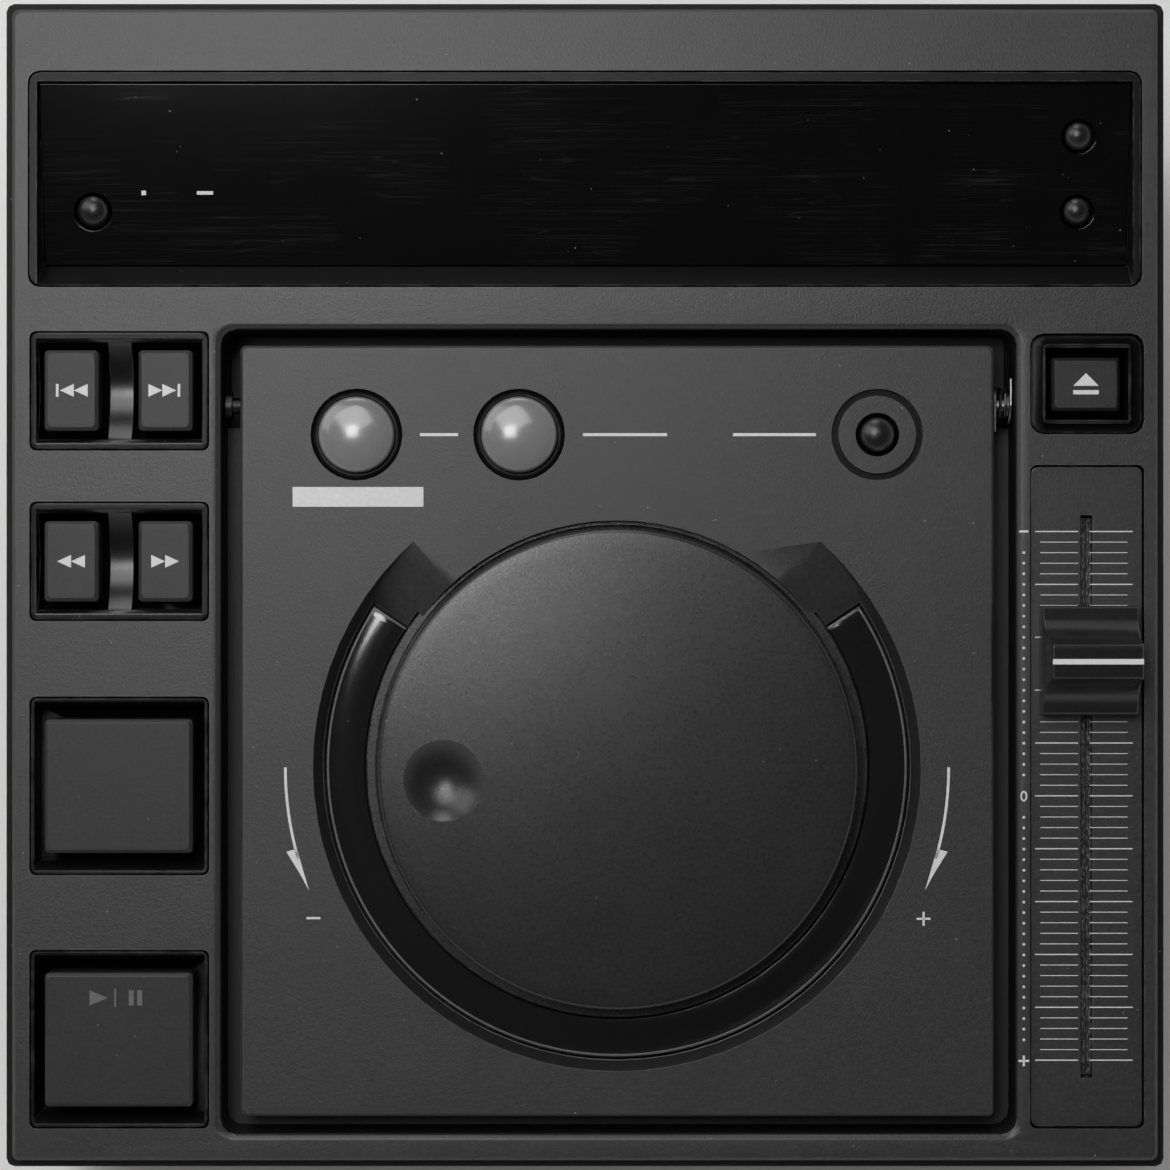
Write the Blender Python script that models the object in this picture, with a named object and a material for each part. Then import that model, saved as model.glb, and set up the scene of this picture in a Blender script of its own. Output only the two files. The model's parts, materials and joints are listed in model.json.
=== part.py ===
"""Tabletop disc player for a disc jockey: sloping panel, lifting lid with a jog dial, disc works inside.

Lengths are metres and +Z is up. The panel has its own axes: x to the right, v up the slope to the
rear and w square out of the panel, with their origin in the middle of the panel's top face.
"""
import math

import bmesh
import bpy
from mathutils import Matrix, Vector

# Clearances and fineness that every piece shares
SEAT_GAP = 0.0003
OVERRUN = 0.002
EMBED = 0.0004
WELD_DISTANCE = 0.000001
CORNER_STEPS = 3
DOME_STEPS = 4
DIMPLE_STEPS = 6
SMALL_STEPS = 16
ROUND_STEPS = 32
FINE_STEPS = 72
ARC_STEP = math.radians(5.0)
SMOOTH_ANGLE = math.radians(35.0)
QUARTER_ABOUT_X = Matrix(((1, 0, 0), (0, 0, 1), (0, -1, 0)))
QUARTER_ABOUT_Y = Matrix(((0, 0, 1), (0, 1, 0), (-1, 0, 0)))

# Case
CASE_SLOPE = math.radians(7.0)
PANEL_MIDDLE_HEIGHT = 0.0937
CASE_WALL = 0.0025
CASE_FLOOR = 0.0025
CASE_BORDER = 0.0015
CASE_EDGE = 0.0015
FOOT_HEIGHT = 0.008
FOOT_RADIUS = 0.0095
FOOT_SOLE_RADIUS = 0.008
FOOT_TAPER_HEIGHT = 0.002
FOOT_RECESS_RADIUS = 0.0035
FOOT_RECESS_DEPTH = 0.003
FOOT_INSET = 0.021

# Panel: margins, columns and rows across it
PANEL_THICKNESS = 0.0025
PANEL_EDGE = 0.0006
PANEL_CORNER = 0.0012
SIDE_MARGIN = 0.0033
KEY_COLUMN_WIDTH = 0.0337
KEY_COLUMN_GAP = 0.0022
FADER_COLUMN_GAP = 0.0026
FADER_COLUMN_WIDTH = 0.0214
FADER_SIDE_MARGIN = 0.0026
FRONT_MARGIN = 0.005
REAR_MARGIN = 0.0115
DISPLAY_LENGTH = 0.0406
DISPLAY_GAP = 0.008
DISPLAY_SIDE_MARGIN = 0.003
DISPLAY_CORNER = 0.0022

# Lid and its well
LID_WIDTH = 0.1414
LID_LENGTH = 0.1446
LID_THICKNESS = 0.0024
LID_SKIRT_DEPTH = 0.011
LID_SKIRT_WALL = 0.002
LID_CORNER = 0.0011
LID_EDGE = 0.0005
LID_LEFT_GAP = 0.0036
LID_RIGHT_GAP = 0.0042
LID_FRONT_GAP = 0.0033
LID_REAR_GAP = 0.003
WELL_CORNER = 0.003
WELL_ROLL = 0.0012
WELL_WALL = 0.0016
WELL_DEPTH = 0.0122
HINGE_INSET = 0.011
HINGE_DEPTH = 0.007
HINGE_PIN_RADIUS = 0.0015
HINGE_PIN_REACH = 0.0045
HINGE_COLLAR_RADIUS = 0.0026
HINGE_NOTCH = 0.007

# Hinge spring: a steel wire wound round the right hinge pin
SPRING_WIRE = 0.00055
SPRING_TURNS = 3
SPRING_PITCH = 0.001
SPRING_COIL_RADIUS = 0.0035
SPRING_POINTS_PER_TURN = 10
SPRING_LEG = 0.005

# Jog dial, measured from its axis; heights are from the lid's top face
DIAL_OFFSET = 0.0068
DIAL_SIDE_MARGIN = 0.0122
DIAL_FRONT_MARGIN = 0.007
DIAL_FLARE = 0.0007
DIAL_HEIGHT = 0.009
DIAL_EDGE = 0.0009
DIAL_CAP = 0.0024
DIAL_WALL = 0.002
DIAL_GAP = 0.001
DIAL_SKIRT_WIDTH = 0.0019
DIAL_SKIRT_TOP = 0.0029
DIAL_SKIRT_THICKNESS = 0.0013
DIAL_BOSS_RADIUS = 0.007
DIAL_BOSS_LENGTH = 0.0056
DIMPLE_RADIUS = 0.0076
DIMPLE_DEPTH = 0.0026
DIMPLE_INSET = 0.0121
DIMPLE_DROP = 0.002
DIMPLE_BACKING = 0.002
JOG_SHAFT_RADIUS = 0.003
JOG_SHAFT_FLANGE_RADIUS = 0.005
JOG_SHAFT_FLANGE = 0.0007
JOG_SHAFT_GRIP = 0.0047

# Moat round the dial, its ramps and the smoked crescent window
WINDOW_WIDTH = 0.0075
WINDOW_THICKNESS = 0.0016
MOAT_WALL_RUN = 0.0014
MOAT_LEDGE = 0.0003
MOAT_DEPTH = 0.0036
MOAT_RIM_WALL = 0.0015
WINDOW_START = math.radians(146.0)
WINDOW_END = math.radians(394.0)
RAMP_SWEEP = math.radians(14.0)
WINDOW_END_GAP = math.radians(0.4)

# Lid underframe
FRAME_THICKNESS = 0.0025
FRAME_SLOT_MARGIN = 0.0012
FRAME_SLOT_TURN = math.radians(4.0)
FRAME_BOSS_RADIUS = 0.0065
FRAME_BOSS_HEIGHT = 0.006
HOOK_SWEEP = math.radians(20.0)
HOOK_COUNT = 3
HOOK_WALL = 0.0018
HOOK_LIP = 0.0013
STRIKER_WIDTH = 0.008
STRIKER_THICKNESS = 0.002
STRIKER_DEPTH = 0.014
STRIKER_WINDOW_WIDTH = 0.005
STRIKER_WINDOW_HEIGHT = 0.0045
STRIKER_SILL = 0.001
STRIKER_SIDE_INSET = 0.0077
STRIKER_FRONT_INSET = 0.0152

# Disc clamper, heights from its top face
CLAMPER_FLANGE_RADIUS = 0.011
CLAMPER_FLANGE = 0.0014
CLAMPER_NECK_RADIUS = 0.0086
CLAMPER_NECK = 0.0026
CLAMPER_PUCK_RADIUS = 0.0155
CLAMPER_PUCK = 0.0072
CLAMPER_RECESS_DEPTH = 0.0042
CLAMPER_RECESS_CLEARANCE = 0.001
CLAMPER_TOP_GAP = 0.002

# Loop buttons on the lid
LOOP_ROW_INSET = 0.0167
LOOP_SIDE_INSET = 0.02185
LOOP_SPACING = 0.0305
LOOP_BUTTON_RADIUS = 0.0071
LOOP_GROOVE_RADIUS = 0.0086
LOOP_GROOVE_DEPTH = 0.0012
LOOP_BUTTON_EDGE = 0.0009
LOOP_BUTTON_CROWN = 0.0014
LOOP_FLANGE_WIDTH = 0.0009
LOOP_FLANGE = 0.001
RELOOP_HOLE_RADIUS = 0.0041
RELOOP_GROOVE_INNER = 0.0073
RELOOP_BUTTON_RADIUS = 0.0033
RELOOP_CROWN = 0.0016

# Disc chamber
DISC_RADIUS = 0.060
DISC_CLEARANCE = 0.0015
CHAMBER_WALL = 0.002
BOWL_DEPTH = 0.0125
TROUGH_DEPTH = 0.007
TROUGH_LEAD = 0.0039
LASER_SLOT_HALF_WIDTH = 0.009
EAR_THICKNESS = 0.002
EAR_HALF_LENGTH = 0.004
EAR_DEPTH = 0.0101
OUTER_EAR_INSET = 0.0023
INNER_EAR_OFFSET = 0.003
ROD_SPREAD = 0.017
ROD_DEPTH = 0.006
ROD_RADIUS = 0.0015
ROD_END = 0.001

# Turntable, spindle motor, sled, screw and sled motor
TABLE_RADIUS = 0.0145
TABLE_THICKNESS = 0.0018
TABLE_FLOOR_GAP = 0.0006
SPIGOT_RADIUS = 0.00735
SPIGOT_TIP_RADIUS = 0.0062
SPIGOT_STRAIGHT = 0.0012
SPIGOT_CONE = 0.0018
TABLE_HUB_RADIUS = 0.004
TABLE_HUB_CLEARANCE = 0.0006
SPINDLE_RADIUS = 0.001
SPINDLE_LENGTH = 0.011
SPINDLE_MOTOR_RADIUS = 0.012
SPINDLE_MOTOR_HEIGHT = 0.0117
SLED_WIDTH = 0.016
SLED_HEIGHT = 0.0075
SLED_TOP_GAP = 0.002
SLED_END_MARGIN = 0.004
LENS_REST_RADIUS = 0.023
SLED_TRAVEL = 0.033
LENS_HOUSING_RADIUS = 0.005
LENS_HOUSING_HEIGHT = 0.0015
LENS_RADIUS = 0.0032
LENS_HEIGHT = 0.0012
SCREW_ROOT_RADIUS = 0.0014
SCREW_CREST_RADIUS = 0.0019
SCREW_PITCH = 0.0035
SCREW_STEPS = 8
SCREW_JOURNAL_GAP = 0.002
NUT_CLEARANCE = 0.0005
SLED_MOTOR_RADIUS = 0.008
SLED_MOTOR_LENGTH = 0.016
SLED_MOTOR_GRIP = 0.006

# Key bezels and keys
SEARCH_BEZEL_LENGTH = 0.0224
CUE_BEZEL_LENGTH = 0.0335
ROW_GAP_shares = (0.159, 0.184, 0.272, 0.269)
BEZEL_CORNER = 0.0012
BEZEL_DEPTH = 0.0162
BEZEL_WELL_DEPTH = 0.009
BEZEL_GUIDE = 0.0025
BEZEL_CAVITY_MARGIN = 0.0045
SCOOP_RIM = 0.001
SCOOP_DEPTH = 0.0038
SEARCH_KEY_WIDTH = 0.0101
SEARCH_KEY_LENGTH = 0.01505
SEARCH_KEY_SPACING = 0.0176
SEARCH_WELL_GAP = 0.0015
SEARCH_KEY_RISE = 0.0016
CUE_KEY_WIDTH = 0.0277
CUE_KEY_LENGTH = 0.02505
CUE_WELL_GAP = 0.002
CUE_KEY_RISE = 0.0012
CUE_BAND_DEPTH = 0.0025
CUE_RIM = 0.0006
KEY_DEPTH = 0.0072
KEY_EDGE = 0.0006
KEY_CORNER = 0.0008
KEY_STEM_WIDTH = 0.006
KEY_STEM_LENGTH = 0.008
KEY_STEM_REACH = 0.0138
KEY_TRAVEL = 0.0012
BOARD_THICKNESS = 0.0015
SWITCH_SIZE = 0.005
SWITCH_CORNER = 0.0005

# Open key, its bezel, the bell crank and the latch slider
OPEN_LENGTH = 0.0189
OPEN_ROW_GAP = 0.0087
OPEN_FADER_GAP = 0.0058
OPEN_CORNER = 0.0025
OPEN_GROOVE_DEPTH = 0.0015
OPEN_COLLAR_WIDTH = 0.0173
OPEN_COLLAR_LENGTH = 0.0157
OPEN_COLLAR_DRAFT = 0.0004
OPEN_COLLAR_DROP = 0.0002
OPEN_HOLE_WIDTH = 0.0156
OPEN_HOLE_LENGTH = 0.0136
OPEN_KEY_WIDTH = 0.01275
OPEN_KEY_LENGTH = 0.010
OPEN_KEY_DROP = 0.0017
OPEN_KEY_DEPTH = 0.0075
OPEN_BEZEL_DEPTH = 0.0125
OPEN_STEM_SIZE = 0.005
OPEN_STEM_REACH = 0.015
OPEN_NUB_SIZE = 0.0014
OPEN_NUB_REACH = 0.0175
OPEN_KEY_TRAVEL = 0.0025
CRANK_ARM = 0.0088
CRANK_DROP = 0.008
CRANK_THICKNESS = 0.0025
CRANK_BAR = 0.0024
CRANK_HUB_RADIUS = 0.0022
CRANK_PIN_RADIUS = 0.001
CRANK_EAR_THICKNESS = 0.0018
CRANK_EAR_LENGTH = 0.006
SLIDER_WIDTH = 0.004
SLIDER_THICKNESS = 0.002
SLIDER_DROP = 0.007
SLIDER_TAB_HEIGHT = 0.0035
SLIDER_ARM_LENGTH = 0.005
SLIDER_NOSE_WIDTH = 0.004
SLIDER_NOSE_LENGTH = 0.0035
SLIDER_TIP_HEIGHT = 0.0025
SLIDER_TIP_LENGTH = 0.0027
LATCH_CLEARANCE = 0.0009
GUIDE_LENGTH = 0.008
GUIDE_WALL = 0.0022
GUIDE_FLOOR = 0.003
GUIDE_POST_RADIUS = 0.0035
GUIDE_INSET_shares = (0.12, 0.82)

# Fader
FADER_CORNER = 0.0012
FADER_RECESS = 0.001
FADER_PLATE_THICKNESS = 0.0024
FADER_END_MARGIN = 0.0091
FADER_SLOT_WIDTH = 0.0022
FADER_HOUSING_WIDTH = 0.012
FADER_HOUSING_DEPTH = 0.0103
FADER_HOUSING_WALL = 0.0012
FADER_HOUSING_MOUTH = 0.004
CARRIAGE_LENGTH = 0.009
CARRIAGE_HEIGHT = 0.0045
LEVER_LENGTH = 0.0052
LEVER_THICKNESS = 0.0012
LEVER_RISE = 0.006
FADER_REST_share = 0.243
CAP_WIDTH = 0.0179
CAP_LENGTH = 0.0204
CAP_LOBE_HEIGHT = 0.0042
CAP_HEIGHT = 0.014
CAP_RIDGE_LENGTH = 0.0068
CAP_RIDGE_WIDTH = 0.0167
CAP_EDGE = 0.0006
CAP_PLATE_GAP = 0.0006
CAP_ARC_STEPS = 6

# Display
DISPLAY_DEPTH = 0.0095
DISPLAY_BAND = 0.0043
DISPLAY_BAND_DROP = 0.0054
DISPLAY_TOP_DROP = 0.0006
DISPLAY_RIM = 0.0017
DISPLAY_REAR_RIM = 0.002
DISPLAY_GLASS = 0.0012
DISPLAY_LIP = 0.0004
MODULE_LENGTH = 0.016
MODULE_HEIGHT = 0.005
MODULE_SIDE_INSET = 0.017
TIME_BUTTON_RADIUS = 0.003
TEMPO_BUTTON_RADIUS = 0.00265
DISPLAY_BUTTON_CLEARANCE = 0.0006
DISPLAY_BUTTON_SIDE_INSET = 0.0096
DISPLAY_BUTTON_FRONT_INSET = 0.0101
DISPLAY_BUTTON_SPACING = 0.0141
DISPLAY_BUTTON_EDGE = 0.0001
DISPLAY_BUTTON_CROWN = 0.0016
DISPLAY_BUTTON_FLANGE = 0.0008

# Screws, posts and boards in the case
SCREW_HEAD_RADIUS = 0.0029
SCREW_HEAD_HEIGHT = 0.0018
SCREW_SHANK_RADIUS = 0.0015
SCREW_SHANK_LENGTH = 0.012
SCREW_RECESS_DEPTH = 0.003
SCREW_BOSS_RADIUS = 0.0044
SCREW_BOSS_HEIGHT = 0.004
PANEL_POST_RADIUS = 0.0034
SLIM_POST_RADIUS = 0.0026
REAR_POST_SIDE_INSET = 0.0095
REAR_POST_REAR_INSET = 0.006
RIGHT_POST_SIDE_INSET = 0.0066
CHAMBER_POST_RADIUS = 0.0038
CHAMBER_POST_SIDE_INSET = 0.0075
CHAMBER_POST_FRONT_INSET = 0.0044
CHAMBER_POST_REAR_INSET = 0.008
MAIN_BOARD_WIDTH = 0.110
MAIN_BOARD_LENGTH = 0.100
MAIN_BOARD_HEIGHT = 0.006
BOARD_POST_RADIUS = 0.003
BOARD_POST_INSET = 0.006
CHIP_SIZE = 0.014
CHIP_HEIGHT = 0.0022
CHIP_SPACING = 0.028
TRANSFORMER_WIDTH = 0.044
TRANSFORMER_LENGTH = 0.034
TRANSFORMER_HEIGHT = 0.036
TRANSFORMER_COIL_WIDTH = 0.026
TRANSFORMER_COIL_BULGE = 0.005
TRANSFORMER_COIL_HEIGHT = 0.024
TRANSFORMER_SIDE_INSET = 0.040
TRANSFORMER_REAR_INSET = 0.058

# Rear connector panel and what it carries
REAR_OPENING_WIDTH = 0.160
REAR_OPENING_HEIGHT = 0.044
REAR_OPENING_SILL = 0.022
REAR_PANEL_MARGIN = 0.004
REAR_PANEL_THICKNESS = 0.0015
INLET_WIDTH = 0.046
INLET_HEIGHT = 0.022
INLET_DEPTH = 0.020
INLET_FLANGE_MARGIN = 0.003
INLET_FLANGE = 0.002
INLET_SIDE_INSET = 0.028
SOCKET_WIDTH = 0.0145
SOCKET_HEIGHT = 0.009
SOCKET_DEPTH = 0.012
SOCKET_PIN_RADIUS = 0.0012
SOCKET_PIN_SPACING = 0.0086
SOCKET_PIN_LENGTH = 0.009
INLET_PART_OFFSET = 0.0115
ROCKER_WIDTH = 0.012
ROCKER_HALF_HEIGHT = 0.0078
ROCKER_HOLE_MARGIN = 0.001
ROCKER_HOLE_DEPTH = 0.009
ROCKER_PIVOT_DEPTH = 0.001
ROCKER_RAISE = 0.0026
ROCKER_DIP = 0.0008
ROCKER_BACK = 0.0055
ROCKER_SIDE_GAP = 0.0003
JACK_REACH = 0.006
JACK_RADIUS = 0.0042
JACK_BORE_RADIUS = 0.0016
JACK_BORE_DEPTH = 0.008
JACK_SPACING = 0.015
JACK_COUNT = 3
JACK_BLOCK_HEIGHT = 0.016
JACK_BLOCK_DEPTH = 0.012
JACK_BLOCK_MARGIN = 0.008
JACK_SIDE_INSET = 0.046
MINI_JACK_RADIUS = 0.0032
MINI_JACK_BORE_RADIUS = 0.0018
MINI_JACK_REACH = 0.0015

# Sizes that follow: widths and lengths across the panel
WELL_WIDTH = LID_LEFT_GAP + LID_WIDTH + LID_RIGHT_GAP
WELL_LENGTH = LID_FRONT_GAP + LID_LENGTH + LID_REAR_GAP
PANEL_WIDTH = (SIDE_MARGIN + KEY_COLUMN_WIDTH + KEY_COLUMN_GAP + WELL_WIDTH
               + FADER_COLUMN_GAP + FADER_COLUMN_WIDTH + FADER_SIDE_MARGIN)
PANEL_LENGTH = FRONT_MARGIN + WELL_LENGTH + DISPLAY_GAP + DISPLAY_LENGTH + REAR_MARGIN
CASE_WIDTH = PANEL_WIDTH + 2 * CASE_BORDER
KEY_COLUMN_X = -PANEL_WIDTH / 2 + SIDE_MARGIN + KEY_COLUMN_WIDTH / 2
WELL_LEFT = KEY_COLUMN_X + KEY_COLUMN_WIDTH / 2 + KEY_COLUMN_GAP
WELL_RIGHT = WELL_LEFT + WELL_WIDTH
WELL_X = (WELL_LEFT + WELL_RIGHT) / 2
FADER_COLUMN_X = PANEL_WIDTH / 2 - FADER_SIDE_MARGIN - FADER_COLUMN_WIDTH / 2
WELL_FRONT = -PANEL_LENGTH / 2 + FRONT_MARGIN
WELL_REAR = WELL_FRONT + WELL_LENGTH
WELL_V = (WELL_FRONT + WELL_REAR) / 2
DISPLAY_FRONT = WELL_REAR + DISPLAY_GAP
DISPLAY_V = DISPLAY_FRONT + DISPLAY_LENGTH / 2
DISPLAY_WIDTH = PANEL_WIDTH - 2 * DISPLAY_SIDE_MARGIN
LID_X = WELL_LEFT + LID_LEFT_GAP + LID_WIDTH / 2
LID_V = WELL_FRONT + LID_FRONT_GAP + LID_LENGTH / 2
HINGE_V = LID_V + LID_LENGTH / 2 - HINGE_INSET
DIAL_V = LID_V - DIAL_OFFSET

# Sizes that follow: the key column, from the display towards the front
COLUMN_SPARE = PANEL_LENGTH / 2 + DISPLAY_FRONT - 2 * SEARCH_BEZEL_LENGTH - 2 * CUE_BEZEL_LENGTH
ROW_GAPS = [share * COLUMN_SPARE for share in ROW_GAP_shares]
TRACK_V = DISPLAY_FRONT - ROW_GAPS[0] - SEARCH_BEZEL_LENGTH / 2
SEARCH_V = TRACK_V - SEARCH_BEZEL_LENGTH - ROW_GAPS[1]
CUE_V = SEARCH_V - SEARCH_BEZEL_LENGTH / 2 - ROW_GAPS[2] - CUE_BEZEL_LENGTH / 2
PLAY_V = CUE_V - CUE_BEZEL_LENGTH - ROW_GAPS[3]
LEFT_POST_V = (CUE_V + PLAY_V) / 2

# Sizes that follow: the fader column
OPEN_V = DISPLAY_FRONT - OPEN_ROW_GAP - OPEN_LENGTH / 2
FADER_REAR = OPEN_V - OPEN_LENGTH / 2 - OPEN_FADER_GAP
FADER_FRONT = WELL_FRONT + FADER_RECESS
FADER_V = (FADER_REAR + FADER_FRONT) / 2
FADER_PLATE_LENGTH = FADER_REAR - FADER_FRONT - 2 * SEAT_GAP
FADER_SLOT_LENGTH = FADER_PLATE_LENGTH - 2 * FADER_END_MARGIN
FADER_TRAVEL = FADER_SLOT_LENGTH - LEVER_LENGTH - 2 * SEAT_GAP
FADER_REST_V = FADER_V + FADER_TRAVEL / 2 - FADER_REST_share * FADER_TRAVEL
RIGHT_POST_V = OPEN_V - OPEN_LENGTH / 2 - OPEN_FADER_GAP / 2

# Sizes that follow: rings round the dial, measured from its axis
MOAT_RIM_RADIUS = min(LID_WIDTH / 2 - DIAL_SIDE_MARGIN, LID_LENGTH / 2 - DIAL_OFFSET - DIAL_FRONT_MARGIN)
MOAT_RADIUS = MOAT_RIM_RADIUS - MOAT_RIM_WALL
MOAT_FLOOR_RADIUS = MOAT_RADIUS - MOAT_WALL_RUN
APERTURE_RADIUS = MOAT_FLOOR_RADIUS - MOAT_LEDGE
WINDOW_OUTER = APERTURE_RADIUS - SEAT_GAP
WINDOW_INNER = WINDOW_OUTER - WINDOW_WIDTH
DIAL_SKIRT_RADIUS = WINDOW_INNER - SEAT_GAP
DIAL_FOOT_RADIUS = DIAL_SKIRT_RADIUS - DIAL_SKIRT_WIDTH
DIAL_HOLE_RADIUS = DIAL_FOOT_RADIUS + DIAL_GAP
DIAL_RADIUS = DIAL_FOOT_RADIUS - DIAL_FLARE
DIMPLE_REACH = DIAL_RADIUS - DIMPLE_INSET
WINDOW_BOTTOM = -MOAT_DEPTH - WINDOW_THICKNESS
FRAME_TOP = WINDOW_BOTTOM - SEAT_GAP
FRAME_BOTTOM = FRAME_TOP - FRAME_THICKNESS
HUB_BORE_RADIUS = JOG_SHAFT_RADIUS + SEAT_GAP

# Sizes that follow: depths of the disc works below the panel's top face
CLAMPER_TOP = FRAME_BOTTOM - CLAMPER_TOP_GAP
DECK_TOP = -WELL_DEPTH - SEAT_GAP
DECK_BOTTOM = DECK_TOP - CHAMBER_WALL
BOWL_FLOOR = DECK_TOP - BOWL_DEPTH
BOWL_BOTTOM = BOWL_FLOOR - CHAMBER_WALL
BOWL_RADIUS = DISC_RADIUS + DISC_CLEARANCE
TROUGH_FLOOR = DECK_TOP - TROUGH_DEPTH
TROUGH_V = HINGE_V - TROUGH_LEAD
ROD_LEVEL = BOWL_BOTTOM - ROD_DEPTH
TABLE_TOP = BOWL_FLOOR + TABLE_FLOOR_GAP + TABLE_THICKNESS
TABLE_HUB_BOTTOM = BOWL_BOTTOM + SEAT_GAP
OUTER_EAR_X = WELL_LEFT + OUTER_EAR_INSET
INNER_EAR_X = LID_X - INNER_EAR_OFFSET
SLED_LENGTH = 2 * ROD_SPREAD + 2 * SLED_END_MARGIN
SLED_TOP = BOWL_BOTTOM - SLED_TOP_GAP
SLED_X = LID_X - LENS_REST_RADIUS
KEY_BOARD_TOP = -BEZEL_DEPTH - SEAT_GAP
SWITCH_TOP = -KEY_STEM_REACH - KEY_TRAVEL - SEAT_GAP

# Sizes that follow: the latch, from the striker on the lid
STRIKER_X = LID_X + LID_WIDTH / 2 - STRIKER_SIDE_INSET
STRIKER_V = LID_V - LID_LENGTH / 2 + STRIKER_FRONT_INSET
STRIKER_FACE_V = STRIKER_V - STRIKER_THICKNESS / 2
STRIKER_BOTTOM = FRAME_BOTTOM - STRIKER_DEPTH
CRANK_LEVEL = -OPEN_NUB_REACH - SEAT_GAP - CRANK_BAR / 2
CRANK_V = OPEN_V - CRANK_ARM
SLIDER_TOP = CRANK_LEVEL - SLIDER_DROP
SLIDER_BOTTOM = SLIDER_TOP - SLIDER_THICKNESS
SLIDER_TAB_V = CRANK_V - CRANK_BAR / 2 - SEAT_GAP
SLIDER_ARM_V = STRIKER_FACE_V - LATCH_CLEARANCE - SLIDER_TIP_LENGTH - SLIDER_NOSE_LENGTH / 2

# Sizes that follow: the case in world axes
PANEL_BED = PANEL_THICKNESS + SEAT_GAP
FRAME_Y = -PANEL_BED * math.sin(CASE_SLOPE) - JACK_REACH / 2
CASE_HALF_LENGTH = PANEL_LENGTH / 2 + CASE_BORDER
CASE_FRONT = FRAME_Y + PANEL_BED * math.sin(CASE_SLOPE) - CASE_HALF_LENGTH * math.cos(CASE_SLOPE)
CASE_REAR = FRAME_Y + PANEL_BED * math.sin(CASE_SLOPE) + CASE_HALF_LENGTH * math.cos(CASE_SLOPE)
FLOOR_TOP = FOOT_HEIGHT + CASE_FLOOR
REAR_WALL_INSIDE = CASE_REAR - CASE_WALL
REAR_PANEL_OUTSIDE = REAR_WALL_INSIDE - SEAT_GAP
REAR_PANEL_INSIDE = REAR_PANEL_OUTSIDE - REAR_PANEL_THICKNESS
REAR_MIDDLE_Z = FLOOR_TOP + REAR_OPENING_SILL + REAR_OPENING_HEIGHT / 2
INLET_X = -REAR_OPENING_WIDTH / 2 + INLET_SIDE_INSET
JACK_X = REAR_OPENING_WIDTH / 2 - JACK_SIDE_INSET

# Finishes: colour, metallic, roughness
FINISHES = {
    "case_black": ((0.018, 0.018, 0.019), 0.0, 0.55),
    "panel_grey": ((0.062, 0.063, 0.065), 0.0, 0.42),
    "lid_grey": ((0.055, 0.056, 0.058), 0.0, 0.40),
    "bezel_black": ((0.012, 0.012, 0.013), 0.0, 0.38),
    "key_grey": ((0.045, 0.045, 0.047), 0.0, 0.45),
    "display_glass": ((0.002, 0.002, 0.003), 0.0, 0.08),
    "smoked_window": ((0.010, 0.010, 0.011), 0.0, 0.12),
    "dial_satin": ((0.038, 0.038, 0.040), 0.0, 0.34),
    "loop_dome": ((0.42, 0.42, 0.40), 0.0, 0.22),
    "button_dark": ((0.010, 0.010, 0.011), 0.0, 0.25),
    "rubber": ((0.010, 0.010, 0.010), 0.0, 0.85),
    "steel": ((0.50, 0.50, 0.49), 1.0, 0.30),
    "zinc_sheet": ((0.42, 0.42, 0.42), 1.0, 0.45),
    "moulding_black": ((0.020, 0.020, 0.021), 0.0, 0.60),
    "circuit_board": ((0.030, 0.075, 0.040), 0.0, 0.55),
    "nylon_white": ((0.62, 0.62, 0.58), 0.0, 0.50),
}


def finish(name):
    """Return the material of that name, made on its first use."""
    material = bpy.data.materials.get(name)
    if material is None:
        colour, metallic, roughness = FINISHES[name]
        material = bpy.data.materials.new(name)
        material.use_nodes = True
        shader = material.node_tree.nodes["Principled BSDF"]
        shader.inputs["Base Color"].default_value = (*colour, 1.0)
        shader.inputs["Metallic"].default_value = metallic
        shader.inputs["Roughness"].default_value = roughness
        material.diffuse_color = (*colour, 1.0)
    return material


def bed_height(v, w):
    """World height over the table of the panel-axes point at v, w."""
    return PANEL_MIDDLE_HEIGHT + v * math.sin(CASE_SLOPE) + w * math.cos(CASE_SLOPE)


def bed_y(v, w):
    """World y of the panel-axes point at v, w."""
    return FRAME_Y + v * math.cos(CASE_SLOPE) - w * math.sin(CASE_SLOPE)


def height_above(y, w):
    """World height, straight above y, of the plane that lies at w in the panel's axes."""
    return PANEL_MIDDLE_HEIGHT + (y - FRAME_Y) * math.tan(CASE_SLOPE) + w / math.cos(CASE_SLOPE)


# Shapes


def rectangle(width, length, corner=0.0):
    """Points of a rectangle round the origin, counter-clockwise, with round corners if asked."""
    if corner <= 0:
        return [(sx * width / 2, sy * length / 2) for sx, sy in ((1, -1), (1, 1), (-1, 1), (-1, -1))]
    points = []
    for sx, sy, start in ((1, -1, -90), (1, 1, 0), (-1, 1, 90), (-1, -1, 180)):
        centre = (sx * (width / 2 - corner), sy * (length / 2 - corner))
        for step in range(CORNER_STEPS + 1):
            angle = math.radians(start + 90 * step / CORNER_STEPS)
            points.append((centre[0] + corner * math.cos(angle), centre[1] + corner * math.sin(angle)))
    return points


def loft(sections):
    """Closed solid through loops of equal count, capped at both ends."""
    shape = bmesh.new()
    loops = [[shape.verts.new(point) for point in section] for section in sections]
    count = len(loops[0])
    for lower, upper in zip(loops, loops[1:]):
        for index in range(count):
            following = (index + 1) % count
            shape.faces.new((lower[index], lower[following], upper[following], upper[index]))
    shape.faces.new(reversed(loops[0]))
    shape.faces.new(loops[-1])
    bmesh.ops.recalc_face_normals(shape, faces=shape.faces)
    return shape


def stack(levels, corner=0.0):
    """Solid of rectangles, each level a width, a length and a height."""
    return loft([[(x, y, height) for x, y in rectangle(width, length, corner)]
                 for width, length, height in levels])


def block(width, length, bottom, top, corner=0.0):
    """Upright block centred on the origin."""
    return stack([(width, length, bottom), (width, length, top)], corner)


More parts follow.
